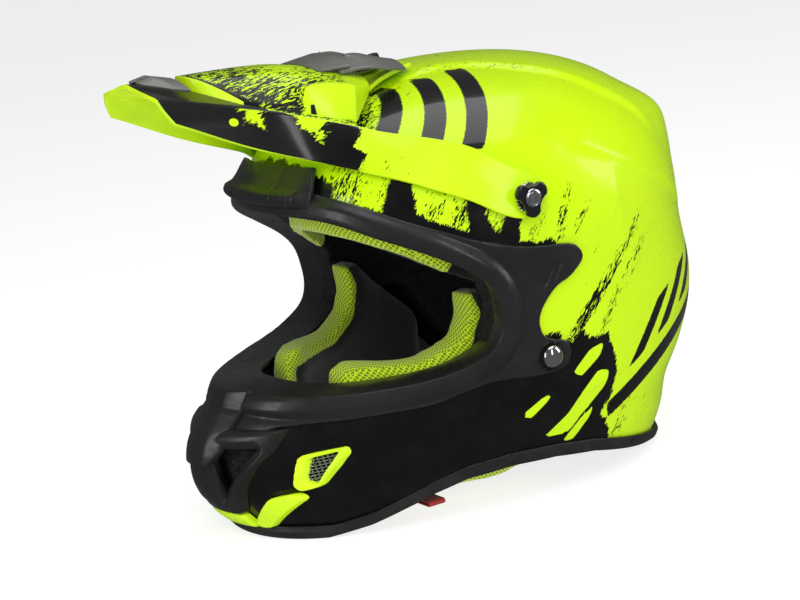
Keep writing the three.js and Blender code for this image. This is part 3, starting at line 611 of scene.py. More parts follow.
def lattice(k, pitch):
    """woven pattern of open eyes laid over whichever way the surface faces, 0 in an eye and 1 on a yarn"""
    x, y, z = k.xyz()
    n = k.node("SeparateXYZ", {0: k.node("NewGeometry").outputs["Normal"]}).outputs
    w = 2 * math.pi / pitch

    def pattern(a, b):
        return k.mul(k.math("SINE", k.mul(k.add(a, b), w)), k.math("SINE", k.mul(k.sub(a, b), w * 0.72)))

    def blend(a, b, share):
        return k.add(k.mul(a, k.sub(1.0, share)), k.mul(b, share))

    side_on = k.step(k.sub(k.math("ABSOLUTE", n[0]), k.math("ABSOLUTE", n[1])), -0.05, 0.05)
    top_on = k.step(k.math("ABSOLUTE", n[2]), 0.72, 0.78)
    return k.math("ABSOLUTE", blend(blend(pattern(x, z), pattern(y, z), side_on), pattern(x, y), top_on))


def spacer_mesh(name):
    """two-layer knit with open eyes, lime where the pad faces out and black where it faces the head; the open eyes
    are coloured darker as painted shade in their hollows
    """
    k = Look(name, rough=0.85)
    eye = k.step(lattice(k, 0.0052), 0.30, 0.62)
    hue = k.step(k.add(k.at("lime"), k.mul(k.sub(k.noise(300, 2), 0.5), 0.5)), 0.35, -0.35)
    thread = k.noise(2200, 3, 0.6)
    # the dark lime in the open eyes is painted shade in the hollows of the knit
    lime = k.mix(eye, k.mix(k.step(thread, 0.3, 0.7), (0.42, 0.60, 0.008), (0.66, 0.88, 0.02)), (0.15, 0.23, 0.004))
    black = k.mix(k.step(thread, 0.35, 0.7), (0.004, 0.004, 0.0045), (0.016, 0.016, 0.017))
    # the near-black in the open eyes of the black side is painted shade in the hollows as well
    k.set(Base_Color=k.mix(hue, k.mix(eye, black, (0.0015, 0.0015, 0.0015)), lime))
    k.set(Roughness=k.step(thread, 0.3, 0.7, 0.78, 0.95), Sheen_Weight=0.25, Sheen_Roughness=0.5)
    k.bump(k.sub(1.0, eye), 0.5, 0.0006)
    return k.bump(thread, 0.25, 0.0002)


def cloth(name):
    """brushed knit"""
    k = Look(name, rough=0.9)
    rib, fuzz = lattice(k, 0.0022), k.noise(1500, 4, 0.7)
    k.set(Base_Color=k.mix(k.step(k.mul(rib, fuzz), 0.1, 0.45), (0.008, 0.008, 0.009), (0.02, 0.02, 0.021)))
    k.set(Roughness=k.step(fuzz, 0.3, 0.7, 0.82, 0.97), Sheen_Weight=0.3, Sheen_Roughness=0.55)
    k.bump(rib, 0.35, 0.0003)
    return k.bump(fuzz, 0.3, 0.0002)


def bead_foam(name):
    k = Look(name, rough=0.92)
    gap = k.cells(330, "DISTANCE_TO_EDGE")
    tone = k.mix(k.step(k.cells(330, out=1), 0.0, 1.0), (0.010, 0.010, 0.010), (0.017, 0.017, 0.018))
    k.set(Base_Color=k.mix(k.step(gap, 0.0, 0.08), (0.003, 0.003, 0.003), tone))
    k.set(Roughness=k.patchy(700, 2, 0.85, 0.97))
    return k.bump(k.step(gap, 0.0, 0.12), 0.5, 0.0006)


def webbing(name, color=(0.010, 0.010, 0.011), light=(0.03, 0.03, 0.032)):
    k = Look(name, rough=0.85)
    x, y, z = k.xyz()
    u = k.math("SINE", k.mul(y, 2 * math.pi / 0.0016))
    v = k.math("SINE", k.add(k.mul(k.add(x, z), 2 * math.pi / 0.0021), k.mul(u, 0.9)))
    weave = k.math("MULTIPLY_ADD", u, 0.5, k.mul(v, 0.5))
    thread = k.noise(2500, 3)
    k.set(Base_Color=k.mix(k.step(k.add(weave, thread), 0.0, 1.3), color, light))
    k.set(Roughness=k.step(thread, 0.3, 0.7, 0.75, 0.92), Sheen_Weight=0.2)
    return k.bump(weave, 0.6, 0.0004)


M = {
    "shell": lacquer("coat_brushed"),
    "peak": lacquer("coat_brushed_satin", 0.12),
    "lime": plastic("moulded_lime", (0.53, 0.80, 0.003), 0.32, 0.03, 0.2),
    "under": plastic("moulded_lime_under", (0.52, 0.78, 0.003), 0.42, 0.05, 0.05),
    "satin": plastic("moulded_satin_black", (0.011, 0.011, 0.012), 0.33, 0.08, 0.12),
    "gloss": plastic("moulded_gloss_black", (0.006, 0.006, 0.007), 0.16, 0.02, 0.5),
    "grey": plastic("moulded_smoke_grey", (0.115, 0.112, 0.105), 0.30, 0.05, 0.2),
    "rubber": rubber("edge_rubber"),
    "foam": bead_foam("bead_foam_black"),
    "mesh": spacer_mesh("spacer_mesh_two_tone"),
    "cloth": cloth("brushed_knit_black"),
    "webbing": webbing("strap_webbing_black"),
    "red": webbing("pull_tab_red", (0.28, 0.006, 0.008), (0.45, 0.02, 0.02)),
    "chrome": metal("polished_chrome", (0.80, 0.80, 0.82), 0.07),
    "alu": metal("satin_aluminium_turned", (0.72, 0.73, 0.75), 0.22, 0.15),
    "steel": metal("bare_steel_plain", (0.80, 0.80, 0.82), 0.36, 0.1),
}

# ---------------------------------------------------------------- shell
port_line = np.concatenate([PORT[:1], spline(PORT[1:-1], 5, False), PORT[-1:]])
surround_line = np.concatenate([SURROUND[:1], spline(SURROUND[1:-1], 4, False), SURROUND[-1:]])

SIDE_VENT = [[55, 38.5], [58, 57], [74, 60], [75.5, 56], [64.5, 36.5], [57.5, 34.5]]
SIDE_VENT_HOLE = [[58, 40.5], [60.3, 54.6], [72.4, 57.6], [63.6, 38]]
WEDGE = [[43, 31], [55, 33.6], [58, 29.5], [31.5, 8], [25.6, 8.4], [24.6, 11.5]]
CHIN_HOLE = [[8, 61], [40, 62.5], [28, 46], [13, 27.5]]
HOUSING = [[-50, 73], [50, 73], [46, 60], [37, 49], [30, 37], [21.5, 18.6], [-21.5, 18.6], [-30, 37], [-37, 49],
           [-46, 60]]
CAP = [[-24, 95], [24, 95], [20, 60], [12, 51], [-12, 51], [-20, 60]]

REAR_LEDGE = [[8, 221], [23, 217], [53, 204], [89, 187], [119, 169], [140, 150]]
UPRIGHT_FOLD = [[40, 212], [43, 200], [41, 181], [46, 158], [60, 132]]
CHIN_CREASE = [[-150, 12], [-104, 32], [-54, 48], [-12, 62], [30, 72], [58, 80]]
SLIVER = [[-150, 50], [-143, 55], [-122, 70]]
TEMPLE_DIMPLE = [[-82, 206], [-66, 218], [-58, 219], [-60, 212], [-72, 206]]
BAND_EDGE = [[-70, 24], [-21, 29], [0, 38], [19, 52], [67, 78], [112, 84], [160, 84]]


def ridge(path, q, height, width):
    d, t = along(path, q)
    return height * np.exp(-np.abs(d) / width) * smooth(0, 0.2, t) * smooth(1, 0.8, t)


def ledge(path, q, height, width):
    """step that is high on the path's left side and fades away from it"""
    d, t = along(path, q)
    s = np.where(d > 0, np.exp(-d / width), np.exp(d / 1.6))
    return height * s * smooth(0, 0.15, t) * smooth(1, 0.8, t)


def relief(v):
    """pressed-in facets and folds of the shell, as extra depth"""
    q = v[:, 1:]
    x, y, z = np.abs(v[:, 0]), v[:, 1], v[:, 2]
    up = smooth(205, 232, z)
    w = line(BAND_EDGE, y)
    d = 2.4 * smooth(w + 3.5, w - 1.5, x) * up * smooth(-64, -40, y) * smooth(176, 150, y)
    # clearance under the peak's tongue
    d -= 1.5 * up * smooth(30, 25, x) * smooth(-96, -86, y) * smooth(-30, -38, y)
    out = x > 40
    s = np.zeros(len(v))
    qo = q[out]
    t = ledge(REAR_LEDGE, qo, 2.6, 26)
    t += ridge(UPRIGHT_FOLD, qo, 1.5, 12)
    t += ridge(CHIN_CREASE, qo, 2.2, 9)
    t += ridge(SLIVER, qo, 1.5, 4)
    t -= 3.0 * smooth(0.5, -3.5, inside(rounded(TEMPLE_DIMPLE, 3), qo))
    s[out] = t
    s *= smooth(40, 60, x)
    return d + s


def above_rim(v):
    return v[:, 2] - line(RIM, v[:, 1])


def shell_field(p):
    v = head(p, 0.0)
    f = np.maximum(4.8 - above_rim(v), -(inside(port_line, v[:, 1:]) - 3.6))
    for y, z, r in ((PIVOT_Y, PIVOT_Z, SCREW_HOLE), (*RIVET, RIVET_HOLE)):
        f = np.maximum(f, r - np.hypot(v[:, 1] - y, v[:, 2] - z))
    top = (v[:, 2] > 240) & (v[:, 1] < -30)
    f = np.where(top, np.maximum(f, SCREW_HOLE - np.hypot(v[:, 0], v[:, 1] + 51.2)), f)
    low = (v[:, 1] < -110) & (v[:, 2] < 80)
    holes = np.minimum(inside(SIDE_VENT_HOLE, v[:, [0, 2]]), inside(CHIN_HOLE, v[:, [0, 2]]))
    return np.where(low, np.maximum(f, -holes), f)


def head_half(step, lo=0.0, hi=2.0):
    """half of the head surface as a grid of about one step"""
    levels = np.concatenate([np.linspace(0, 1, int(170 / step)), np.linspace(1, 2, int(185 / step))[1:]])
    return grid(np.linspace(-HALF_PI, HALF_PI, int(480 / step)), levels[(levels >= lo) & (levels <= hi)])


# ---- paint, as signed distances in millimetres over the side view (y, z)
LOWER_BLACK = [[-240, -10], [-240, 90], [-60, 92], [-30, 108], [-10, 108], [-8, 100], [-2, 98], [6, 108],
               [14, 99], [27, 98], [32, 90], [35, 74], [32, 58], [23, 47], [28, 36], [29, -10]]
UPPER_BLACK = [[-240, 150], [-240, 240], [-130, 238], [-124, 226], [-120, 214], [-124, 206], [-106, 198],
               [-100, 211], [-92, 223], [-84, 222], [-88, 210], [-90, 196], [-80, 188], [-66, 182], [-64, 197],
               [-54, 207], [-45, 211], [-48, 200], [-54, 188], [-48, 178], [-42, 188], [-36, 197], [-30, 194],
               [-33, 182], [-35, 172], [-24, 168], [-14, 168], [-10, 158], [-60, 150]]
STROKES = [  # dry-brush strokes: path, half width, strength
    ([[-8, 166], [-3, 182], [5, 198]], 4.0, 0.95), ([[4, 168], [14, 182], [28, 198]], 3.5, 0.75),
    ([[-6, 98], [10, 116], [30, 136], [46, 152], [62, 166]], 4.5, 1.0),
    ([[22, 100], [36, 122], [50, 140], [64, 152]], 4.0, 0.85), ([[44, 126], [60, 146], [80, 160]], 4.0, 0.72),
    ([[-28, 168], [-18, 184], [-10, 198]], 4.0, 0.7), ([[-6, 96], [2, 106], [12, 120]], 5.0, 0.85),
    ([[34, 24], [42, 40], [58, 58]], 7.0, 0.75), ([[60, 30], [70, 46]], 5.0, 0.6), ([[78, 36], [86, 52]], 5.0, 0.5),
    ([[-122, 202], [-112, 218], [-104, 230]], 8.0, 0.9), ([[-100, 200], [-92, 216], [-84, 230]], 7.0, 0.9),
    ([[-84, 190], [-72, 210], [-62, 224]], 7.0, 0.75), ([[-72, 186], [-62, 204], [-50, 220]], 7.0, 0.8),
    ([[-52, 178], [-42, 196], [-34, 212]], 6.0, 0.75)]
BRUSHED_TOP = [[-108, 236], [-104, 250], [-84, 264], [-50, 272], [-22, 272], [-44, 262], [-66, 252], [-84, 242],
               [-92, 234]]
DUSTY_SIDE = [[-6, 170], [40, 204], [86, 170], [60, 120], [10, 104]]
# a plain rising stripe and slanted bars, a generic race pattern
BARS = [[[-94, 238], [-64, 263], [-56, 263], [-86, 235]], [[-76, 232], [-44, 266], [-33, 266], [-66, 229]],
        [[-55, 228], [-20, 268], [-7, 268], [-42, 227]], [[26, 52], [28, 42], [180, 106], [180, 120]],
        [[46, 70], [62, 77], [94, 116], [78, 109]], [[76, 83], [92, 90], [124, 129], [108, 122]],
        [[106, 96], [122, 103], [154, 142], [138, 135]]]
PATCHES = [  # lime blades left bare in the black
    [[-24, 42], [-6, 54], [4, 66], [18, 77], [27, 75], [24, 66], [10, 55], [-8, 41]],
    [[-10, 36], [4, 48], [14, 54], [12, 48], [-2, 35]], [[-2, 80], [12, 92], [24, 94], [20, 86], [4, 76]],
    [[-40, 60], [-22, 70], [-18, 68], [-34, 57]]]


def fields(v, **given):
    """the values the lacquer reads at each vertex, with those not given at their defaults"""
    base = {"mark": 50.0, "clear": 50.0, "wear": 0.0, "top": smooth(226, 246, v[:, 2])}
    return {key: np.ones(len(v)) * value for key, value in {**base, **given}.items()}


def paint(v):
    x, y, z = np.abs(v[:, 0]), v[:, 1], v[:, 2]
    q = v[:, 1:]
    lower, upper = inside(LOWER_BLACK, q), inside(UPPER_BLACK, q)
    ink = np.where(z > 240, np.maximum(lower, z - 240), np.minimum(lower, upper))
    rag = 0.25 + 2.7 * smooth(-11, -1, ink)
    rag = rag * np.where((y < -60) & (z < 100), 0.05, 1.0)
    speck = 0.30 * smooth(26, 2, upper) * smooth(-130, -90, y) + 0.25 * smooth(12, 2, lower) * smooth(0, 20, y)
    for path, w, strength in STROKES:
        d, t = along(path, q)
        fading = 0.75 + 0.25 * smooth(1, 0.3, t)
        speck = np.maximum(speck, strength * smooth(w * 2.0, w * 0.3, np.abs(d)) * fading)
    brushed = smooth(5, -7, inside(BRUSHED_TOP, q)) * smooth(16, 26, x)
    speck = np.maximum(speck, brushed * (0.95 - 0.35 * smooth(-90, -40, y)))
    edge = np.abs(x - line(BAND_EDGE, y))
    speck = np.maximum(speck, 0.62 * smooth(9, 2, edge) * smooth(236, 246, z) * smooth(90, 10, y))
    speck = np.maximum(speck, 0.34 * smooth(20, -8, inside(DUSTY_SIDE, q)))
    mark = np.full(len(v), 50.0)
    clear = np.full(len(v), 50.0)
    near = x > 20
    for shape in BARS:
        mark[near] = np.minimum(mark[near], inside(rounded(shape, 1.5), q[near]))
    for shape in PATCHES:
        clear[near] = np.minimum(clear[near], inside(rounded(shape, 2), q[near]))
    # the inner face of the shell is plain black
    ink = np.where(under(v, -2.0), -50.0, ink)
    clear = np.where(under(v, -2.0), 50.0, clear)
    return fields(v, ink=ink, rag=rag, speck=speck, mark=mark, clear=clear, wear=0.15 + 0.35 * smooth(30, 0, ink))


step = 3.0
hp, ht = head_half(step)
shell = panel(hp, ht, head, 0.0, -SHELL_THICK, shell_field, 0.8, True, relief)
piece("shell", shell, "shell", "outer_shell", 50, paint(shell[0]))


# ---------------------------------------------------------------- eye port surround
def trim_field(p):
    v = head(p, 0.0)
    f = np.maximum(inside(surround_line, v[:, 1:]), -inside(port_line, v[:, 1:]))
    f = np.where(v[:, 1] > 20, 50, f)
    return np.maximum(f, 3.4 - np.hypot(v[:, 1] - RIVET[0], v[:, 2] - RIVET[1]))


def trim_top(v, p):
    q = v[:, 1:]
    d = inside(port_line, q)
    t = 3.0 + 2.6 * smooth(13.0, 7.5, d) * (0.7 + 0.3 * smooth(0, 4, d))
    t -= 0.9 * np.exp(-((d - 14.0) / 1.5)**2)
    fold, _ = along([[-60, 92], [-30, 96], [0, 97]], q)
    t += 0.9 * np.exp(-np.abs(fold) / 7) * smooth(-70, -40, v[:, 1])
    for k in (0, 1):
        slot_d, s = along([[-22 + 6 * k, 140 + 2 * k], [-15 + 6 * k, 152 + 2 * k]], q)
        t -= 0.9 * smooth(1.6, 0.8, np.abs(slot_d)) * smooth(0, 0.08, s) * smooth(1, 0.92, s)
    seat = np.hypot(v[:, 1] - RIVET[0], v[:, 2] - RIVET[1])
    return t - 2.4 * smooth(9.2, 7.8, seat)


def trim_foot(v, p):
    return np.where(inside(port_line, v[:, 1:]) < 3.0, -28.0, 0.4)


tp, tt = head_half(1.7, 0.3, 1.5)
tt = tt[(head(tp, 0.0)[:, 1] < 14)[tt].all(1)]
for level in (3.0, 7.5, 13.0, 14.0):
    tp, tt = split(tp, tt, lambda q, s=level: inside(port_line, head(q, 0.0)[:, 1:]) - s, True, 0.12)
trim = panel(tp, tt, head, trim_top, trim_foot, trim_field, 1.1)
piece("port_surround", trim, "satin", "eyeport_trim", 40)


# ---------------------------------------------------------------- rubber round the rim
def rim_top(v, p):
    h = above_rim(v)
    turn = v[:, 1] / np.hypot(v[:, 0], v[:, 1])
    flare = 4.6 * smooth(0.72, 0.95, turn) + 3.6 * smooth(0.9, 0.985, -turn)
    return 2.2 + flare * smooth(9.5, 3.5, h) - 0.5 * np.exp(-((h - 6.9) / 0.45)**2)


def rim_foot(v, p):
    return np.where(above_rim(v) < 4.5, -7.6, 0.4)


def rim_field(p):
    h = above_rim(head(p, 0.0))
    return np.maximum(-h, h - 8.6)


rp, rt = grid(np.linspace(-HALF_PI, HALF_PI, 260), np.linspace(0, 0.23, 34))
rp, rt = split(rp, rt, lambda q: above_rim(head(q, 0.0)) - 4.5, True, 0.1)
rim = panel(rp, rt, head, rim_top, rim_foot, rim_field, 1.0)
piece("rim_trim", rim, "rubber", "base_trim", 40)


# ---------------------------------------------------------------- brow block
def brow_field(p):
    v = head(p, 0.0)
    return np.maximum(np.abs(v[:, 0]) - line([[200, 46], [212, 45], [224, 41]], v[:, 2]),
                      np.maximum(v[:, 2] - 223, 200.8 - v[:, 2]))


def brow_top(v, p):
    x, z = np.abs(v[:, 0]), v[:, 2]
    t = line([[200, 8], [202.5, 12.8], [204.5, 14], [207.5, 13.4], [210.5, 9.6], [214, 8.2], [224, 6.6]], z)
    t = 6.2 + (t - 6.2) * smooth(46, 38, x)
    ribs = smooth(206, 203.5, z) * smooth(42, 38, x)
    return t - 1.1 * ribs * (0.5 + 0.5 * np.sin(v[:, 0] * 2 * math.pi / 4.4)) + 0.5 * np.exp(-((x - 20) / 1.2)**2)


bp, bt = head_half(1.3, 1.15, 1.5)
bt = bt[(head(bp, 0.0)[:, 1] < -90)[bt].all(1)]
piece("brow_block", panel(bp, bt, head, brow_top, 3.6, brow_field, 0.9), "satin", "brow_vent", 32)


# ---------------------------------------------------------------- chin
def on_front(name, outline, holes, top, foot, stands, look, cell=1.2, half=True, edge=0.9, corner=2.0):
    """plate on the front of the chin bar between outlines given in x and z"""
    o = rounded(outline, corner)
    h = [rounded(k, 1.6) for k in holes]

    def field(p):
        f = inside(o, p)
        for k in h:
            f = np.maximum(f, -inside(k, p))
        return f
    lo, hi = o.min(0) - 1, o.max(0) + 1
    lo[0] = 0 if half else lo[0]
    p, t = grid(*(np.linspace(a, b, int((b - a) / cell) + 1) for a, b in zip(lo, hi)))
    made = panel(p, t, front, top, foot, field, edge, half)
    if half:
        return piece(name, made, look, stands, 32)
    for end, shape in (("_left", made), ("_right", flip_x(*made))):
        piece(name + end, shape, look, stands + end, 32)


def housing_top(v, p):
    d = inside(rounded(CHIN_HOLE, 1.6), p)
    x, z = np.abs(p[:, 0]), p[:, 1]
    t = 6.8 - 3.6 * smooth(5.5, 0, d) + 1.8 * smooth(9, 5.5, x) * smooth(20, 30, z)
    fold, _ = along([[6, 66], [22, 70], [46, 70]], p)
    flank, _ = along([[22, 19], [30, 36], [38, 50], [47, 62]], p)
    return t + 1.2 * np.exp(-np.abs(fold) / 2.5) + 0.8 * smooth(0, 6, flank)


def cap_top(v, p):
    x, z = np.abs(p[:, 0]), p[:, 1]
    t = 10.2 - 0.02 * x - 0.34 * np.maximum(x - 11, 0) + 0.5 * smooth(60, 76, z)
    t -= 1.0 * np.exp(-((z - 88 + 0.18 * x) / 1.6)**2) * smooth(3, 7, x)
    return t


def wedge_top(v, p):
    d, _ = along([[27, 10], [42, 24], [57, 31]], p)
    return 5.6 - 0.16 * np.abs(d)


on_front("chin_housing", HOUSING, [CHIN_HOLE], housing_top, 0.4, "chin_vent_housing", "satin")
on_front("nose_cover", CAP, [], cap_top, 3.8, "nose_cap", "satin")
on_front("chin_infill", [[-20, 18.2], [20, 18.2], [23.4, 8], [-23.4, 8]], [],
         lambda v, p: 8.0 - 0.03 * np.abs(p[:, 0]) - 0.25 * np.abs(p[:, 1] - 14), 0.8, "chin_insert", "lime")
on_front("side_vent_frame_rim", SIDE_VENT, [SIDE_VENT_HOLE],
         lambda v, p: 3.0 + 1.2 * smooth(0, 3.2, inside(SIDE_VENT_HOLE, p)), -1.0, "side_vent_frame", "lime", 0.8,
         False, 0.8, 3.0)
on_front("chin_wedge_facet", WEDGE, [], wedge_top, 0.4, "chin_wedge", "lime", 1.0, False, 0.8, 3.0)


def wire_cloth():
    """woven wire behind the frame of the left side vent"""
    hole = rounded(SIDE_VENT_HOLE, 1.6)
    parts = []
    pitch, turn = 1.9, math.radians(12)
    mid = hole.mean(0)
    u = np.array([math.cos(turn), math.sin(turn)])
    w = np.array([-u[1], u[0]])
    for way, across, phase in ((u, w, 0), (w, u, 1)):
        for k in range(-8, 9):
            s = np.arange(-16, 16.01, pitch / 4)
            p = mid + way * s[:, None] + across * pitch * k
            ok = inside(hole, p) < 1.0
            if ok.sum() < 4:
                continue
            lo, hi = np.flatnonzero(ok)[[0, -1]]
            wave = 0.34 * np.cos(math.pi * (s / pitch + k + phase))
            v = front(p[lo:hi + 1], (wave - 0.6)[lo:hi + 1])
            parts.append(tube(v, 0.36, 6, False, (0, 1, 0.3)))
    return merge(*parts)


wires = wire_cloth()
piece("vent_wire_left", wires, "steel", "side_vent_mesh_left", 180)
piece("vent_wire_right", flip_x(*wires), "steel", "side_vent_mesh_right", 180)


# ---------------------------------------------------------------- peak
def cage(half_rows, crease, levels=3, mirror=True):
    """subdivided surface from a control cage given as half rows, mirrored, as vertices and quads"""
    verts, index = [], {}

    def vid(p):
        key = tuple(round(c, 3) for c in p)
        if key not in index:
            index[key] = len(verts)
            verts.append(key)
        return index[key]
    quads = []
    for rows in half_rows:
        for a, b in zip(rows[:-1], rows[1:]):
            for j in range(len(a) - 1):
                quads.append((a[j], a[j + 1], b[j + 1], b[j]))
    faces = []
    for q in quads:
        faces.append([vid(p) for p in q])
        if mirror:
            faces.append([vid((-p[0], p[1], p[2])) for p in reversed(q)])
    mesh = bpy.data.meshes.new("cage")
    mesh.from_pydata(verts, [], faces)
    sharp = {}
    for path, amount in crease:
        for p, q in zip(path[:-1], path[1:]):
            for sign in (1, -1) if mirror else (1,):
                a, b = vid((sign * p[0], p[1], p[2])), vid((sign * q[0], q[1], q[2]))
                sharp[(min(a, b), max(a, b))] = amount
    att = mesh.attributes.new("crease_edge", "FLOAT", "EDGE")
    for e in mesh.edges:
        att.data[e.index].value = sharp.get(tuple(sorted(e.vertices)), 0.0)
    ob = bpy.data.objects.new("cage", mesh)
    bpy.context.scene.collection.objects.link(ob)
    m = ob.modifiers.new("s", "SUBSURF")
    m.levels = m.render_levels = levels
    m.boundary_smooth = "PRESERVE_CORNERS"
    return arrays(ob)


def evaluated(ob):
    """the mesh of an object with its modifiers applied"""
    return bpy.data.meshes.new_from_object(ob.evaluated_get(bpy.context.evaluated_depsgraph_get()))


def read(items, key, kind=float, width=1):
    """one property of all the items of a mesh"""
    values = np.zeros(len(items) * width, kind)
    items.foreach_get(key, values)
    return values.reshape(-1, width) if width > 1 else values


def arrays(ob):
    """vertices and faces of an object with its modifiers applied"""
    mesh = evaluated(ob)
    v = read(mesh.vertices, "co", float, 3)
    size = read(mesh.polygons, "loop_total", int)
    loops = read(mesh.loops, "vertex_index", int)
    start = np.cumsum(size) - size
    faces = [np.stack([loops[start[size == n] + j] for j in range(n)], 1) for n in (3, 4) if (size == n).any()]
    bpy.data.meshes.remove(mesh)
    bpy.data.objects.remove(ob)
    return v, faces


PEAK_ROWS = [
    [(0, -222, 291), (14, -221.5, 287.5), (36, -220, 283), (41, -218.5, 276), (45, -214, 268)],
    [(0, -197, 285.5), (15, -197, 283.5), (36, -196, 277), (42, -197, 269.5), (46, -199, 261)],
    [(0, -172, 279.5), (17, -172, 277.5), (36, -168, 269.5), (43, -168, 259), (48, -170, 246.5)],
    [(0, -147, 275), (20, -147, 272.5), (40, -145, 264), (46, -144, 251), (51, -142, 236)],
    [(0, -122, 270), (23, -122, 267), (50, -121, 255.5), (54, -120, 243), (57, -119, 227)],
    [(0, -102, 265.8), (24, -102, 263.5), (60, -100, 248), (67, -103, 236), (71, -109, 222.5)]]
ARM = [[(-90, 243), (-94, 231), (-100, 219)], [(-78, 240), (-83, 227), (-88, 213.5)],
       [(-64, 235.5), (-70, 221), (-76, 207)], [(-50, 230), (-56, 214), (-61, 200)],
       [(-37, 217), (-41, 203), (-47, 189)], [(-24, 211), (-27, 197), (-32, 183)],
       [(-16, 205), (-14, 197), (-20, 187)]]
TONGUE = [(-92, 262.5), (-78, 0), (-66, 0), (-52, 0), (-36, 0)]


def peak_surface():
    arm = [PEAK_ROWS[-1][2:]]
    for row in ARM:
        v = side(np.array(row, float), 5.6)
        arm.append([tuple(float(c) for c in q) for q in v])
    tongue = [PEAK_ROWS[-1][:2]]
    for y, z in TONGUE:
        z = z or PIVOT_Z + math.sqrt(TONGUE_R**2 - (y - PIVOT_Y)**2)
        tongue.append([(0, y, z), (23.5, y, z - (2.0 if y < -70 else 0.6))])
    fold = [r[2] for r in PEAK_ROWS]
    low = [r[4] for r in PEAK_ROWS]
    crease = [(fold[:4], 0.8), (fold[3:], 0.55), (low, 0.9), (PEAK_ROWS[0], 0.9),
              ([a[0] for a in arm], 0.7), ([a[2] for a in arm], 0.7), ([t[1] for t in tongue], 0.9),
              (tongue[-1], 0.9), ([r[0] for r in PEAK_ROWS[:3]], 0.35)]
    return cage([PEAK_ROWS, arm, tongue], crease, 4)


def thick(ob, mm, rim_slot=1, bevel=0.6, offset=-1):
    s = ob.modifiers.new("thickness", "SOLIDIFY")
    s.thickness = mm * MM
    s.offset = offset
    s.use_even_offset = True
    s.material_offset = rim_slot
    s.material_offset_rim = rim_slot
    if bevel:
        b = ob.modifiers.new("edge", "BEVEL")
        b.width = bevel * MM
        b.segments = 2
        b.limit_method = "ANGLE"
        b.angle_limit = math.radians(50)


def peak_paint(v):
    """satin black front and flanks that break up into lime towards the arms"""
    x, y, z = np.abs(v[:, 0]), v[:, 1], v[:, 2]
    q = v[:, 1:]
    fold = np.interp(y, [r[2][1] for r in PEAK_ROWS], [r[2][2] for r in PEAK_ROWS])
    flank = z < fold - 0.3
    ink = inside([[-240, 200], [-240, 300], [-100, 300], [-100, 246], [-108, 238], [-103, 232], [-108, 226],
                  [-111, 220], [-116, 210]], q)
    # lime breaks through along the top of the flank
    bare = np.minimum(inside([[-172, 276], [-146, 272], [-156, 254], [-168, 260]], q),
                      inside([[-138, 266], [-112, 256], [-124, 238], [-132, 248]], q))
    ink = np.where(flank, np.maximum(ink, -bare * 0.45 - 1.0), ink)
    ink = np.where(~flank & (y > -150), np.maximum(ink, 6.0), ink)
    dot = np.hypot((y + 175) * 0.7, z - 262) - 2.3
    rag = np.where(y < -178, 0.05, 2.1)
    speck = np.where(flank, 0.25, 0.9 * smooth(-176, -150, y))
    speck = np.where(y > -98, 0.30 * smooth(-60, -96, y) + 0.12, speck)
    return fields(v, ink=ink, rag=rag, speck=speck, clear=np.where(flank, dot, 50.0))


pv, pf = peak_surface()
# flat seats for the side screws
seat = smooth(15, 10.5, np.hypot(pv[:, 1] - PIVOT_Y, pv[:, 2] - PIVOT_Z))
pv[:, 0] -= np.sign(pv[:, 0]) * seat * np.maximum(np.abs(pv[:, 0]) - (SEAT_X - 0.3), 0)
thick(piece("peak_shell", (pv, pf), "peak under", "peak", 34, peak_paint(pv), "peak"), 2.6)

PANEL_ROWS = [
    [(0, -186, 290), (12, -183, 288.8), (22, -171, 280.5), (31, -161, 271.2), (33, -160, 267.5)],
    [(0, -160, 290), (16, -158, 288), (27, -152, 279), (37, -148, 267.4), (38.5, -147, 264)],
    [(0, -132, 289), (20, -131, 286.5), (32, -130, 279), (42.5, -129, 263.4), (43.5, -129, 259)],
    [(0, -122, 288), (21, -121, 285.5), (33, -122, 280.5), (41.5, -123, 275.5), (46.5, -121, 257)],
    [(0, -105, 284.5), (22, -105, 282.5), (36, -105, 277.5), (44.5, -105, 274), (51.5, -106, 251.5)],
    [(0, -90, 281), (22, -90, 279), (36, -91, 274), (46.5, -92, 271), (52, -97, 249)],
    [(0, -72, 276), (20, -72, 274.5), (31, -73, 270), (34, -74, 267), (35, -76, 262)]]


def panel_paint(v):
    x, y, z = np.abs(v[:, 0]), v[:, 1], v[:, 2]
    sweep = y - np.interp(x, [0, 12, 22, 31, 40], [-186, -183, -171, -160, -150])
    fin = smooth(-128, -122, y) * smooth(41.6, 42.4, x)
    ink = sweep - 2.0 + 30 * fin
    speck = (0.78 - 0.3 * smooth(-160, -120, y) + 0.2 * smooth(26, 36, x)) * (1 - fin)
    speck = speck * smooth(-84, -96, y) + 0.2
    slot = inside([[-124, 258.5], [-123, 264], [-120.5, 264], [-120.5, 257.5]], v[:, 1:])
    return fields(v, ink=ink, rag=1.6, speck=speck * (1 - 0.85 * fin), mark=np.where(x > 40, slot, 50.0), top=1.0)


qv, qf = cage([PANEL_ROWS], [
    ([r[3] for r in PANEL_ROWS], 0.9), ([r[4] for r in PANEL_ROWS], 1.0), (PANEL_ROWS[0], 0.95),
    (PANEL_ROWS[-1], 0.9), (PANEL_ROWS[2][2:], 0.7), (PANEL_ROWS[3][3:], 0.9), (PANEL_ROWS[5][2:], 0.8)], 4)
thick(piece("peak_panel", (qv, qf), "peak under", (), 34, panel_paint(qv), "peak"), 2.4)
lip = [PANEL_ROWS[0][:4], [(0, -187.5, 280), (13, -185, 279), (24, -173.5, 273.5), (33, -162, 268)]]
thick(piece("peak_panel_front", cage([lip], [(row, 0.9) for row in lip]), "lime lime", (), 34, body="peak"), 1.8, 0,
      0.5, 0)


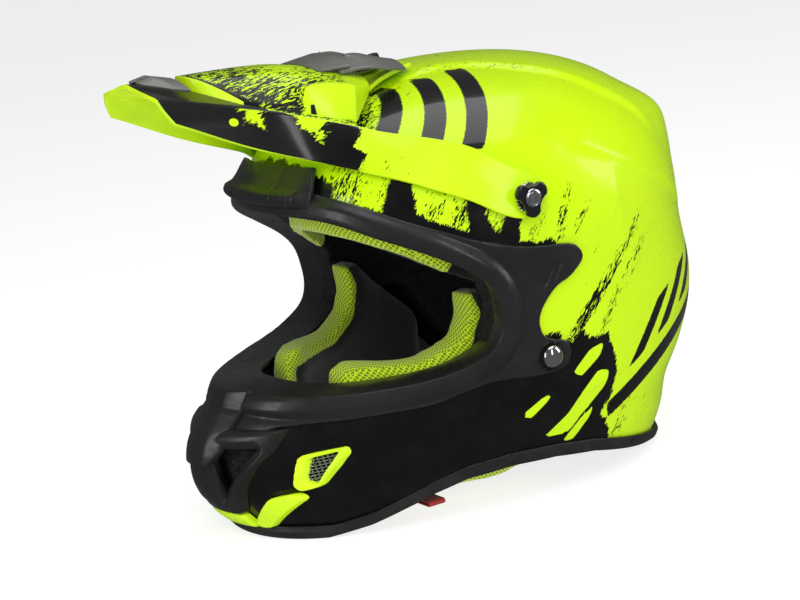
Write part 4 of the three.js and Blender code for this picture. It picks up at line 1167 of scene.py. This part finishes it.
def louvres():
    front_plate = [
        [(0, -108, 285.6), (16, -107, 284.6), (27, -105, 281.5)],
        [(0, -98, 287.0), (17, -97, 286), (29, -96, 281.8)],
        [(0, -86, 288.8), (18, -85, 287.6), (31, -84, 281.6)]]
    rear_plate = [
        [(0, -92, 284.6), (18, -91, 283.4), (31, -91, 278.5)],
        [(0, -80, 287.4), (18, -79, 286), (32, -78, 279.2)],
        [(14.5, -70, 287.4), (20, -69, 286.6), (33, -68, 278.4)],
        [(14.5, -58, 282.6), (22, -57, 281.8), (33, -56, 275.4)],
        [(14.5, -44, 279), (22, -44, 278.4), (31, -44, 273.4)]]
    tail = [[(14.5, -80, 287.0)] + rear_plate[1][1:]] + rear_plate[2:]
    return merge(cage([front_plate], [(front_plate[0], 1), (front_plate[-1], 1)]),
                 cage([rear_plate[:2], tail], [(rear_plate[0], 1), ([r[0] for r in tail], 1), (tail[-1], 1)]))


thick(piece("peak_louvres", louvres(), "grey grey", "peak_cover", 30, body="peak"), 1.7, 0, 0.4)


def scoop():
    """ramp on the front of the peak, high along its inner edge, where it is open"""
    rows = [[(4, -217, 291.4), (7, -216, 290.6), (9, -215, 289.6)],
            [(6, -206, 293.2), (13, -203, 290.4), (21, -201, 285.2)],
            [(10, -196, 290.6), (17, -193, 287.6), (24, -191, 283.2)]]
    crease = [(rows[0], 1), (rows[-1], 1), (rows[1], 0.8), ([r[0] for r in rows], 1), ([r[2] for r in rows], 1)]
    return cage([rows], crease, 3, False)


sc = scoop()
for end, shape in (("left", sc), ("right", flip_x(*sc))):
    thick(piece("scoop_ramp_" + end, shape, "grey grey", "peak_scoop_" + end, 30, body="peak"), 1.8, 0, 0.4)


# ---------------------------------------------------------------- screws, rivets
def screw_set(end, at, axis, node):
    """toothed disc and three-lobed knob of a screw"""
    body = end + "_screw"
    disc = [(0, -0.2), (8.8, -0.2), (9.4, 0.2), (9.4, 1.2), (8.9, 1.7), (5.9, 1.8), (5.75, 6.1), (5.4, 6.6),
            (4.4, 6.9), (4.1, 6.6), (3.7, 6.55), (3.4, 6.85), (0, 6.95)]

    def notch(r, a):
        return r - (r > 8) * 0.7 * (np.cos(a * 24) > 0.2)
    piece("screw_" + end + "_disc", turned(disc, at, axis, 144, notch), "alu", node.format("screw"), 28, body=body)
    # each step of the knob: on the lobed outline or round, radius or offset from the outline, height
    steps = [(0, 6.1, 2.3), (1, -0.5, 2.3), (1, 0, 2.8), (1, 0, 5.2), (1, -0.5, 5.9), (1, -1.0, 6.1),
             (0, 6.35, 6.0), (0, 6.1, 5.7), (0, 6.1, 2.3)]
    kind, base = (np.array([s[k] for s in steps])[:, None] for k in (0, 1))

    def lobes(r, a):
        c = np.cos(3 * a)
        lobe = 9.6 + 2.4 * np.sign(c) * np.abs(c) ** 0.6
        return np.where(kind == 1, np.maximum(lobe + base, 6.5), base)
    piece("screw_" + end + "_knob", turned([(5, s[2]) for s in steps], at, axis, 120, lobes), "gloss",
          node.format("knob"), 35, body=body)


RIVET_SHAPE = [(0, 102.4), (4.4, 102.4), (4.4, 103.6), (2.6, 103.6), (2.6, 121.4), (6.9, 121.4), (7.3, 121.9),
               (7.2, 122.8), (6.7, 123.9), (5.6, 125), (4, 125.8), (2, 126.25), (0, 126.4)]
for sign, end in ((1, "left"), (-1, "right")):
    screw_set(end, (sign * SEAT_X, PIVOT_Y, PIVOT_Z), (sign, 0, 0), "side_{}_" + end)
    rivet = turned(RIVET_SHAPE, (0, *RIVET), (sign, 0, 0), 64)
    piece("snap_rivet_" + end, rivet, "chrome", "strap_rivet_" + end, 30)
TOP_LEAN, TOP_REACH = math.radians(16.2), 79.6
up = (0, -math.sin(TOP_LEAN), math.cos(TOP_LEAN))
screw_set("top", (0, PIVOT_Y + TOP_REACH * up[1], PIVOT_Z + TOP_REACH * up[2]), up, "centre_{}")


# ---------------------------------------------------------------- pads and foam
def bake(ob):
    """applies the object's modifiers"""
    mesh = evaluated(ob)
    ob.modifiers.clear()
    ob.data = mesh


def relaxed(ob, times):
    s = ob.modifiers.new("relax", "SMOOTH")
    s.factor = 0.5
    s.iterations = times
    bake(ob)


def put(ob, v):
    ob.data.vertices.foreach_set("co", v.ravel())
    ob.data.update()


def remeshed(node, voxel, inset, relax):
    """an even, softened copy of a solid, drawn in by the inset"""
    ob = bpy.data.objects.new("work", frame["nodes"][node].data.copy())
    ob.data.materials.clear()
    bpy.context.scene.collection.objects.link(ob)
    m = ob.modifiers.new("r", "REMESH")
    m.mode = "VOXEL"
    m.voxel_size = voxel * MM
    bake(ob)
    relaxed(ob, relax)
    verts = ob.data.vertices
    put(ob, read(verts, "co", float, 3) - read(verts, "normal", float, 3) * inset * MM)
    return ob


def in_head(ob):
    """vertices and faces in millimetres of the head's frame"""
    v, f = arrays(ob)
    return v / MM - [0, SHIFT, 0], f


def swollen(node, voxel, inset, relax, pressure, cap):
    """a pad blown up by a cloth simulation from its solid, a little at a time"""
    ob = remeshed(node, voxel, inset, relax)
    rest = read(ob.data.vertices, "co", float, 3)
    c = ob.modifiers.new("c", "CLOTH")
    c.settings.quality = 5
    c.settings.mass = 0.3
    c.settings.use_pressure = True
    c.settings.uniform_pressure_force = pressure
    c.settings.effector_weights.gravity = 0
    c.point_cache.frame_start, c.point_cache.frame_end = 1, 20
    for k in range(1, 21):
        bpy.context.scene.frame_set(k)
    bake(ob)
    move = read(ob.data.vertices, "co", float, 3) - rest
    far = np.linalg.norm(move, axis=1)[:, None]
    put(ob, rest + move * np.minimum(1, cap * MM / np.maximum(far, 1e-9)))
    bpy.context.scene.frame_set(1)
    relaxed(ob, 2)
    sub = ob.modifiers.new("s", "SUBSURF")
    sub.levels = sub.render_levels = 1
    return in_head(ob)


def seamed(v, faces, d, depth, width):
    """draws the surface in along d = 0, as a sewn seam does"""
    n = np.zeros_like(v)
    for f in faces:
        turn = np.cross(v[f[:, 2]] - v[f[:, 0]], v[f[:, -1]] - v[f[:, 1]])
        for j in range(f.shape[1]):
            np.add.at(n, f[:, j], turn)
    n /= np.linalg.norm(n, axis=1)[:, None] + 1e-12
    return v - n * (depth * np.exp(-(d / width)**2))[:, None]


CHEEK_EDGE = [[-108, 18], [-116, 30], [-125, 56], [-129, 84], [-124, 98], [-104, 101], [-76, 102], [-58, 110],
              [-50, 124], [-52, 140], [-38, 142]]


def pad(name, shape, look, node, values=None):
    piece(name, shape, look, node, 180, values)


cv, cf = swollen("cheek_pad_left", 4.5, 1.6, 5, 4.0, 3.0)
strip = line([[20, 12], [86, 12.5], [104, 9.5], [124, 6], [142, 2.5]], cv[:, 2])
lime = np.minimum(np.abs(along(CHEEK_EDGE, cv[:, 1:])[0]) - strip, cv[:, 2] - 27)
cv = seamed(cv, cf, lime, 1.6, 1.8)
for end, shape in (("left", (cv, cf)), ("right", flip_x(cv, cf))):
    pad("cheek_cushion_" + end, shape, "mesh", "cheek_pad_" + end, {"lime": lime})
bv, bf = swollen("brow_pad", 3.5, 0.8, 3, 3.0, 1.5)
pad("brow_cushion", (bv, bf), "mesh", "brow_pad", {"lime": np.full(len(bv), -5.0)})
kv, kf = swollen("crown_pad", 4.5, 0.8, 4, 2.0, 1.5)
kv = seamed(kv, kf, np.abs(np.abs(kv[:, 0]) - 34), 1.8, 2.2)
kv = seamed(kv, kf, np.abs(kv[:, 0]) + 40 * (kv[:, 1] > 60), 1.2, 2.0)
pad("crown_cushion", (kv, kf), "cloth", "crown_pad")
nv, nf = swollen("neck_roll", 4.5, 1.2, 5, 3.0, 2.5)
pad("neck_cushion", (seamed(nv, nf, nv[:, 2] - 44, 1.4, 1.8), nf), "cloth", "neck_roll")
for name, node in (("bead_liner", "eps_liner"), ("bead_chin", "chin_foam")):
    piece(name, in_head(remeshed(node, 3.5, 0.6, 2)), "foam", node, 60)


# ---------------------------------------------------------------- straps and rings
BAR_X, BAR_Z = 105.4 + 0.8 + 0.19 * (33 - RIVET[1]), 33.0
STRAP_Y = (13.5, 38.5)
RING = (42.0, 18.0)


def loop_path(x, z, r, a0=0.0, a1=2 * math.pi, n=28, end=False):
    """points round an arc"""
    t = np.linspace(a0, a1, n, endpoint=end)
    return np.stack([x + r * np.cos(t), z + r * np.sin(t)], 1)


def strap_left():
    """loop round the anchor bar, run to the rings, loop through them and the sewn-down flap"""
    x, z = RING
    run = [[BAR_X - 2.6, BAR_Z - 2.6], [BAR_X - 12, BAR_Z - 4.6], [70, 25], [x + 8, z + 1.6], [x + 4.6, z]]
    flap = [[x + 5, z + 3.6], [x + 12, z + 4.6], [x + 26, z + 8.2]]
    return merge(band(loop_path(BAR_X, BAR_Z, 3.45), 1.8, *STRAP_Y, True),
                 band(spline(run, 8, False), 1.9, *STRAP_Y), band(loop_path(x, z, 5.6), 1.9, *STRAP_Y, True),
                 band(spline(flap, 6, False), 1.6, STRAP_Y[0] + 1, STRAP_Y[1] - 1))


def strap_right():
    """loop round the anchor bar and the free strap, its end turned over"""
    run = [[-BAR_X + 2.6, BAR_Z - 2.6], [-75, 24.8], [-40, 17], [-18, 12.2], [-12.9, 13], [-11.9, 15.4],
           [-13.4, 17.8], [-18, 18.9], [-40, 23.4], [-70, 29.6]]
    return merge(band(loop_path(-BAR_X, BAR_Z, 3.45), 1.8, *STRAP_Y, True),
                 band(spline(run, 8, False), 1.9, *STRAP_Y))


piece("webbing_left", strap_left(), "webbing", "strap_left", 50, body="left_strap")
piece("webbing_right", strap_right(), "webbing", "strap_right", 50, body="right_strap")
STUD_SHAPE = [(0, 0.6), (6.2, 0.6), (6.6, 1), (6.5, 1.8), (5.4, 2.5), (4, 2.9), (2.6, 3.3), (0, 3.4)]
piece("keeper_stud", turned(STUD_SHAPE, (-60, 26, 28.4), (0.2, 0, 0.98), 64), "chrome", "strap_stud", 30,
      body="right_strap")
D_PATH = [[0, -15], [-6, -15.4], [-12, -14], [-17, -10.6], [-20.5, -5.6], [-21.6, 0], [-20.5, 5.6], [-17, 10.6],
          [-12, 14], [-6, 15.4], [0, 15]]
D_BAR = [[0.6, 12], [0.7, 6], [0.7, 0], [0.7, -6], [0.6, -12]]
bow = np.concatenate([spline(D_PATH, 6, False), D_BAR]) + [RING[0], 26]
for end, h in (("upper", 1.9), ("lower", -1.9)):
    path = np.column_stack([bow, np.full(len(bow), RING[1] + h)])
    piece("ring_" + end, tube(path, 1.5, 12, True), "steel", "d_ring_" + end, 180, body=end + "_ring")
bend = loop_path(86.2, 12.95, 1.25, HALF_PI, -HALF_PI, 6, True)
fold = [np.linspace([62, 14.2], [85.6, 14.2], 9), bend, np.linspace([85.6, 11.7], [62, 11.7], 9)]
tab = band(np.concatenate(fold), 1.0, -98, -86)
for end, shape in (("left", tab), ("right", flip_x(*tab))):
    piece("pull_tab_" + end, shape, "red", "release_tab_" + end, 50)

for node, look in (("side_insert_left", "alu"), ("side_insert_right", "alu"), ("centre_insert", "alu"),
                   ("strap_anchor_left", "steel"), ("strap_anchor_right", "steel")):
    data = frame["nodes"][node].data
    data.materials.clear()
    data.materials.append(M[look])


# ---------------------------------------------------------------- camera, floor and light
def add_camera():
    turn, rise, roll = (math.radians(a) for a in (58.5, 11.9, -6.5))
    far, focus = 1400, Vector((0, -50, 140))
    back = Vector((math.sin(turn) * math.cos(rise), -math.cos(turn) * math.cos(rise), math.sin(rise)))
    level = Vector((math.cos(turn), math.sin(turn), 0))
    up = back.cross(level)
    right = level * math.cos(roll) + up * math.sin(roll)
    top = up * math.cos(roll) - level * math.sin(roll)
    data = bpy.data.cameras.new("camera")
    data.sensor_width = 36
    data.lens = 97.245
    data.shift_x, data.shift_y = 0.00625, -0.035
    cam = bpy.data.objects.new("camera", data)
    eye = (focus + back * far + Vector((0, SHIFT, 0))) * MM
    cam.matrix_world = Matrix((
        (right.x, top.x, back.x, eye.x), (right.y, top.y, back.y, eye.y), (right.z, top.z, back.z, eye.z),
        (0, 0, 0, 1)))
    data.clip_start, data.clip_end = 0.05, 60
    bpy.context.scene.collection.objects.link(cam)
    bpy.context.scene.camera = cam


def add_light(name, at, size, power, target=(0, 0, 0.15), glossy=True):
    data = bpy.data.lights.new(name, "AREA")
    data.shape = "RECTANGLE"
    data.size, data.size_y = size
    data.energy = power
    ob = bpy.data.objects.new(name, data)
    ob.location = at
    ob.visible_glossy = glossy
    ob.rotation_mode = "QUATERNION"
    ob.rotation_quaternion = (Vector(target) - Vector(at)).to_track_quat("-Z", "Y")
    bpy.context.scene.collection.objects.link(ob)


def add_floor():
    mesh = bpy.data.meshes.new("floor")
    bm = bmesh.new()
    bmesh.ops.create_circle(bm, cap_ends=True, radius=14, segments=96)
    bm.to_mesh(mesh)
    bm.free()
    k = Look("floor_paper", rough=0.9)
    k.set(Base_Color=k.mix(k.noise(3, 2), (0.34, 0.34, 0.34), (0.36, 0.36, 0.36)))
    k.set(Emission_Color=(1, 1, 1), Emission_Strength=0.8)
    mesh.materials.append(k.m)
    ob = bpy.data.objects.new("floor", mesh)
    ob.visible_glossy = False
    ob.location.z = -0.0004
    bpy.context.scene.collection.objects.link(ob)


add_camera()
add_floor()
world = bpy.data.worlds.new("studio")
world.use_nodes = True
world.node_tree.nodes["Background"].inputs[0].default_value = (1, 1, 1, 1)
world.node_tree.nodes["Background"].inputs[1].default_value = 0.10
bpy.context.scene.world = world
add_light("key", (1.1, -0.7, 1.5), (1.1, 1.1), 16, glossy=False)
add_light("strip", (1.35, 0.15, 0.75), (0.16, 1.0), 3)
add_light("front_strip", (0.15, -1.5, 0.55), (0.3, 0.9), 3.5)
add_light("overhead", (0.1, 0.3, 2.1), (1.6, 1.6), 17)
add_light("back_rim", (1.0, 1.5, 0.8), (0.5, 1.2), 7)
add_light("fill", (1.5, -1.1, 0.5), (2.0, 1.6), 14, glossy=False)
bpy.context.scene.view_settings.view_transform = "Standard"
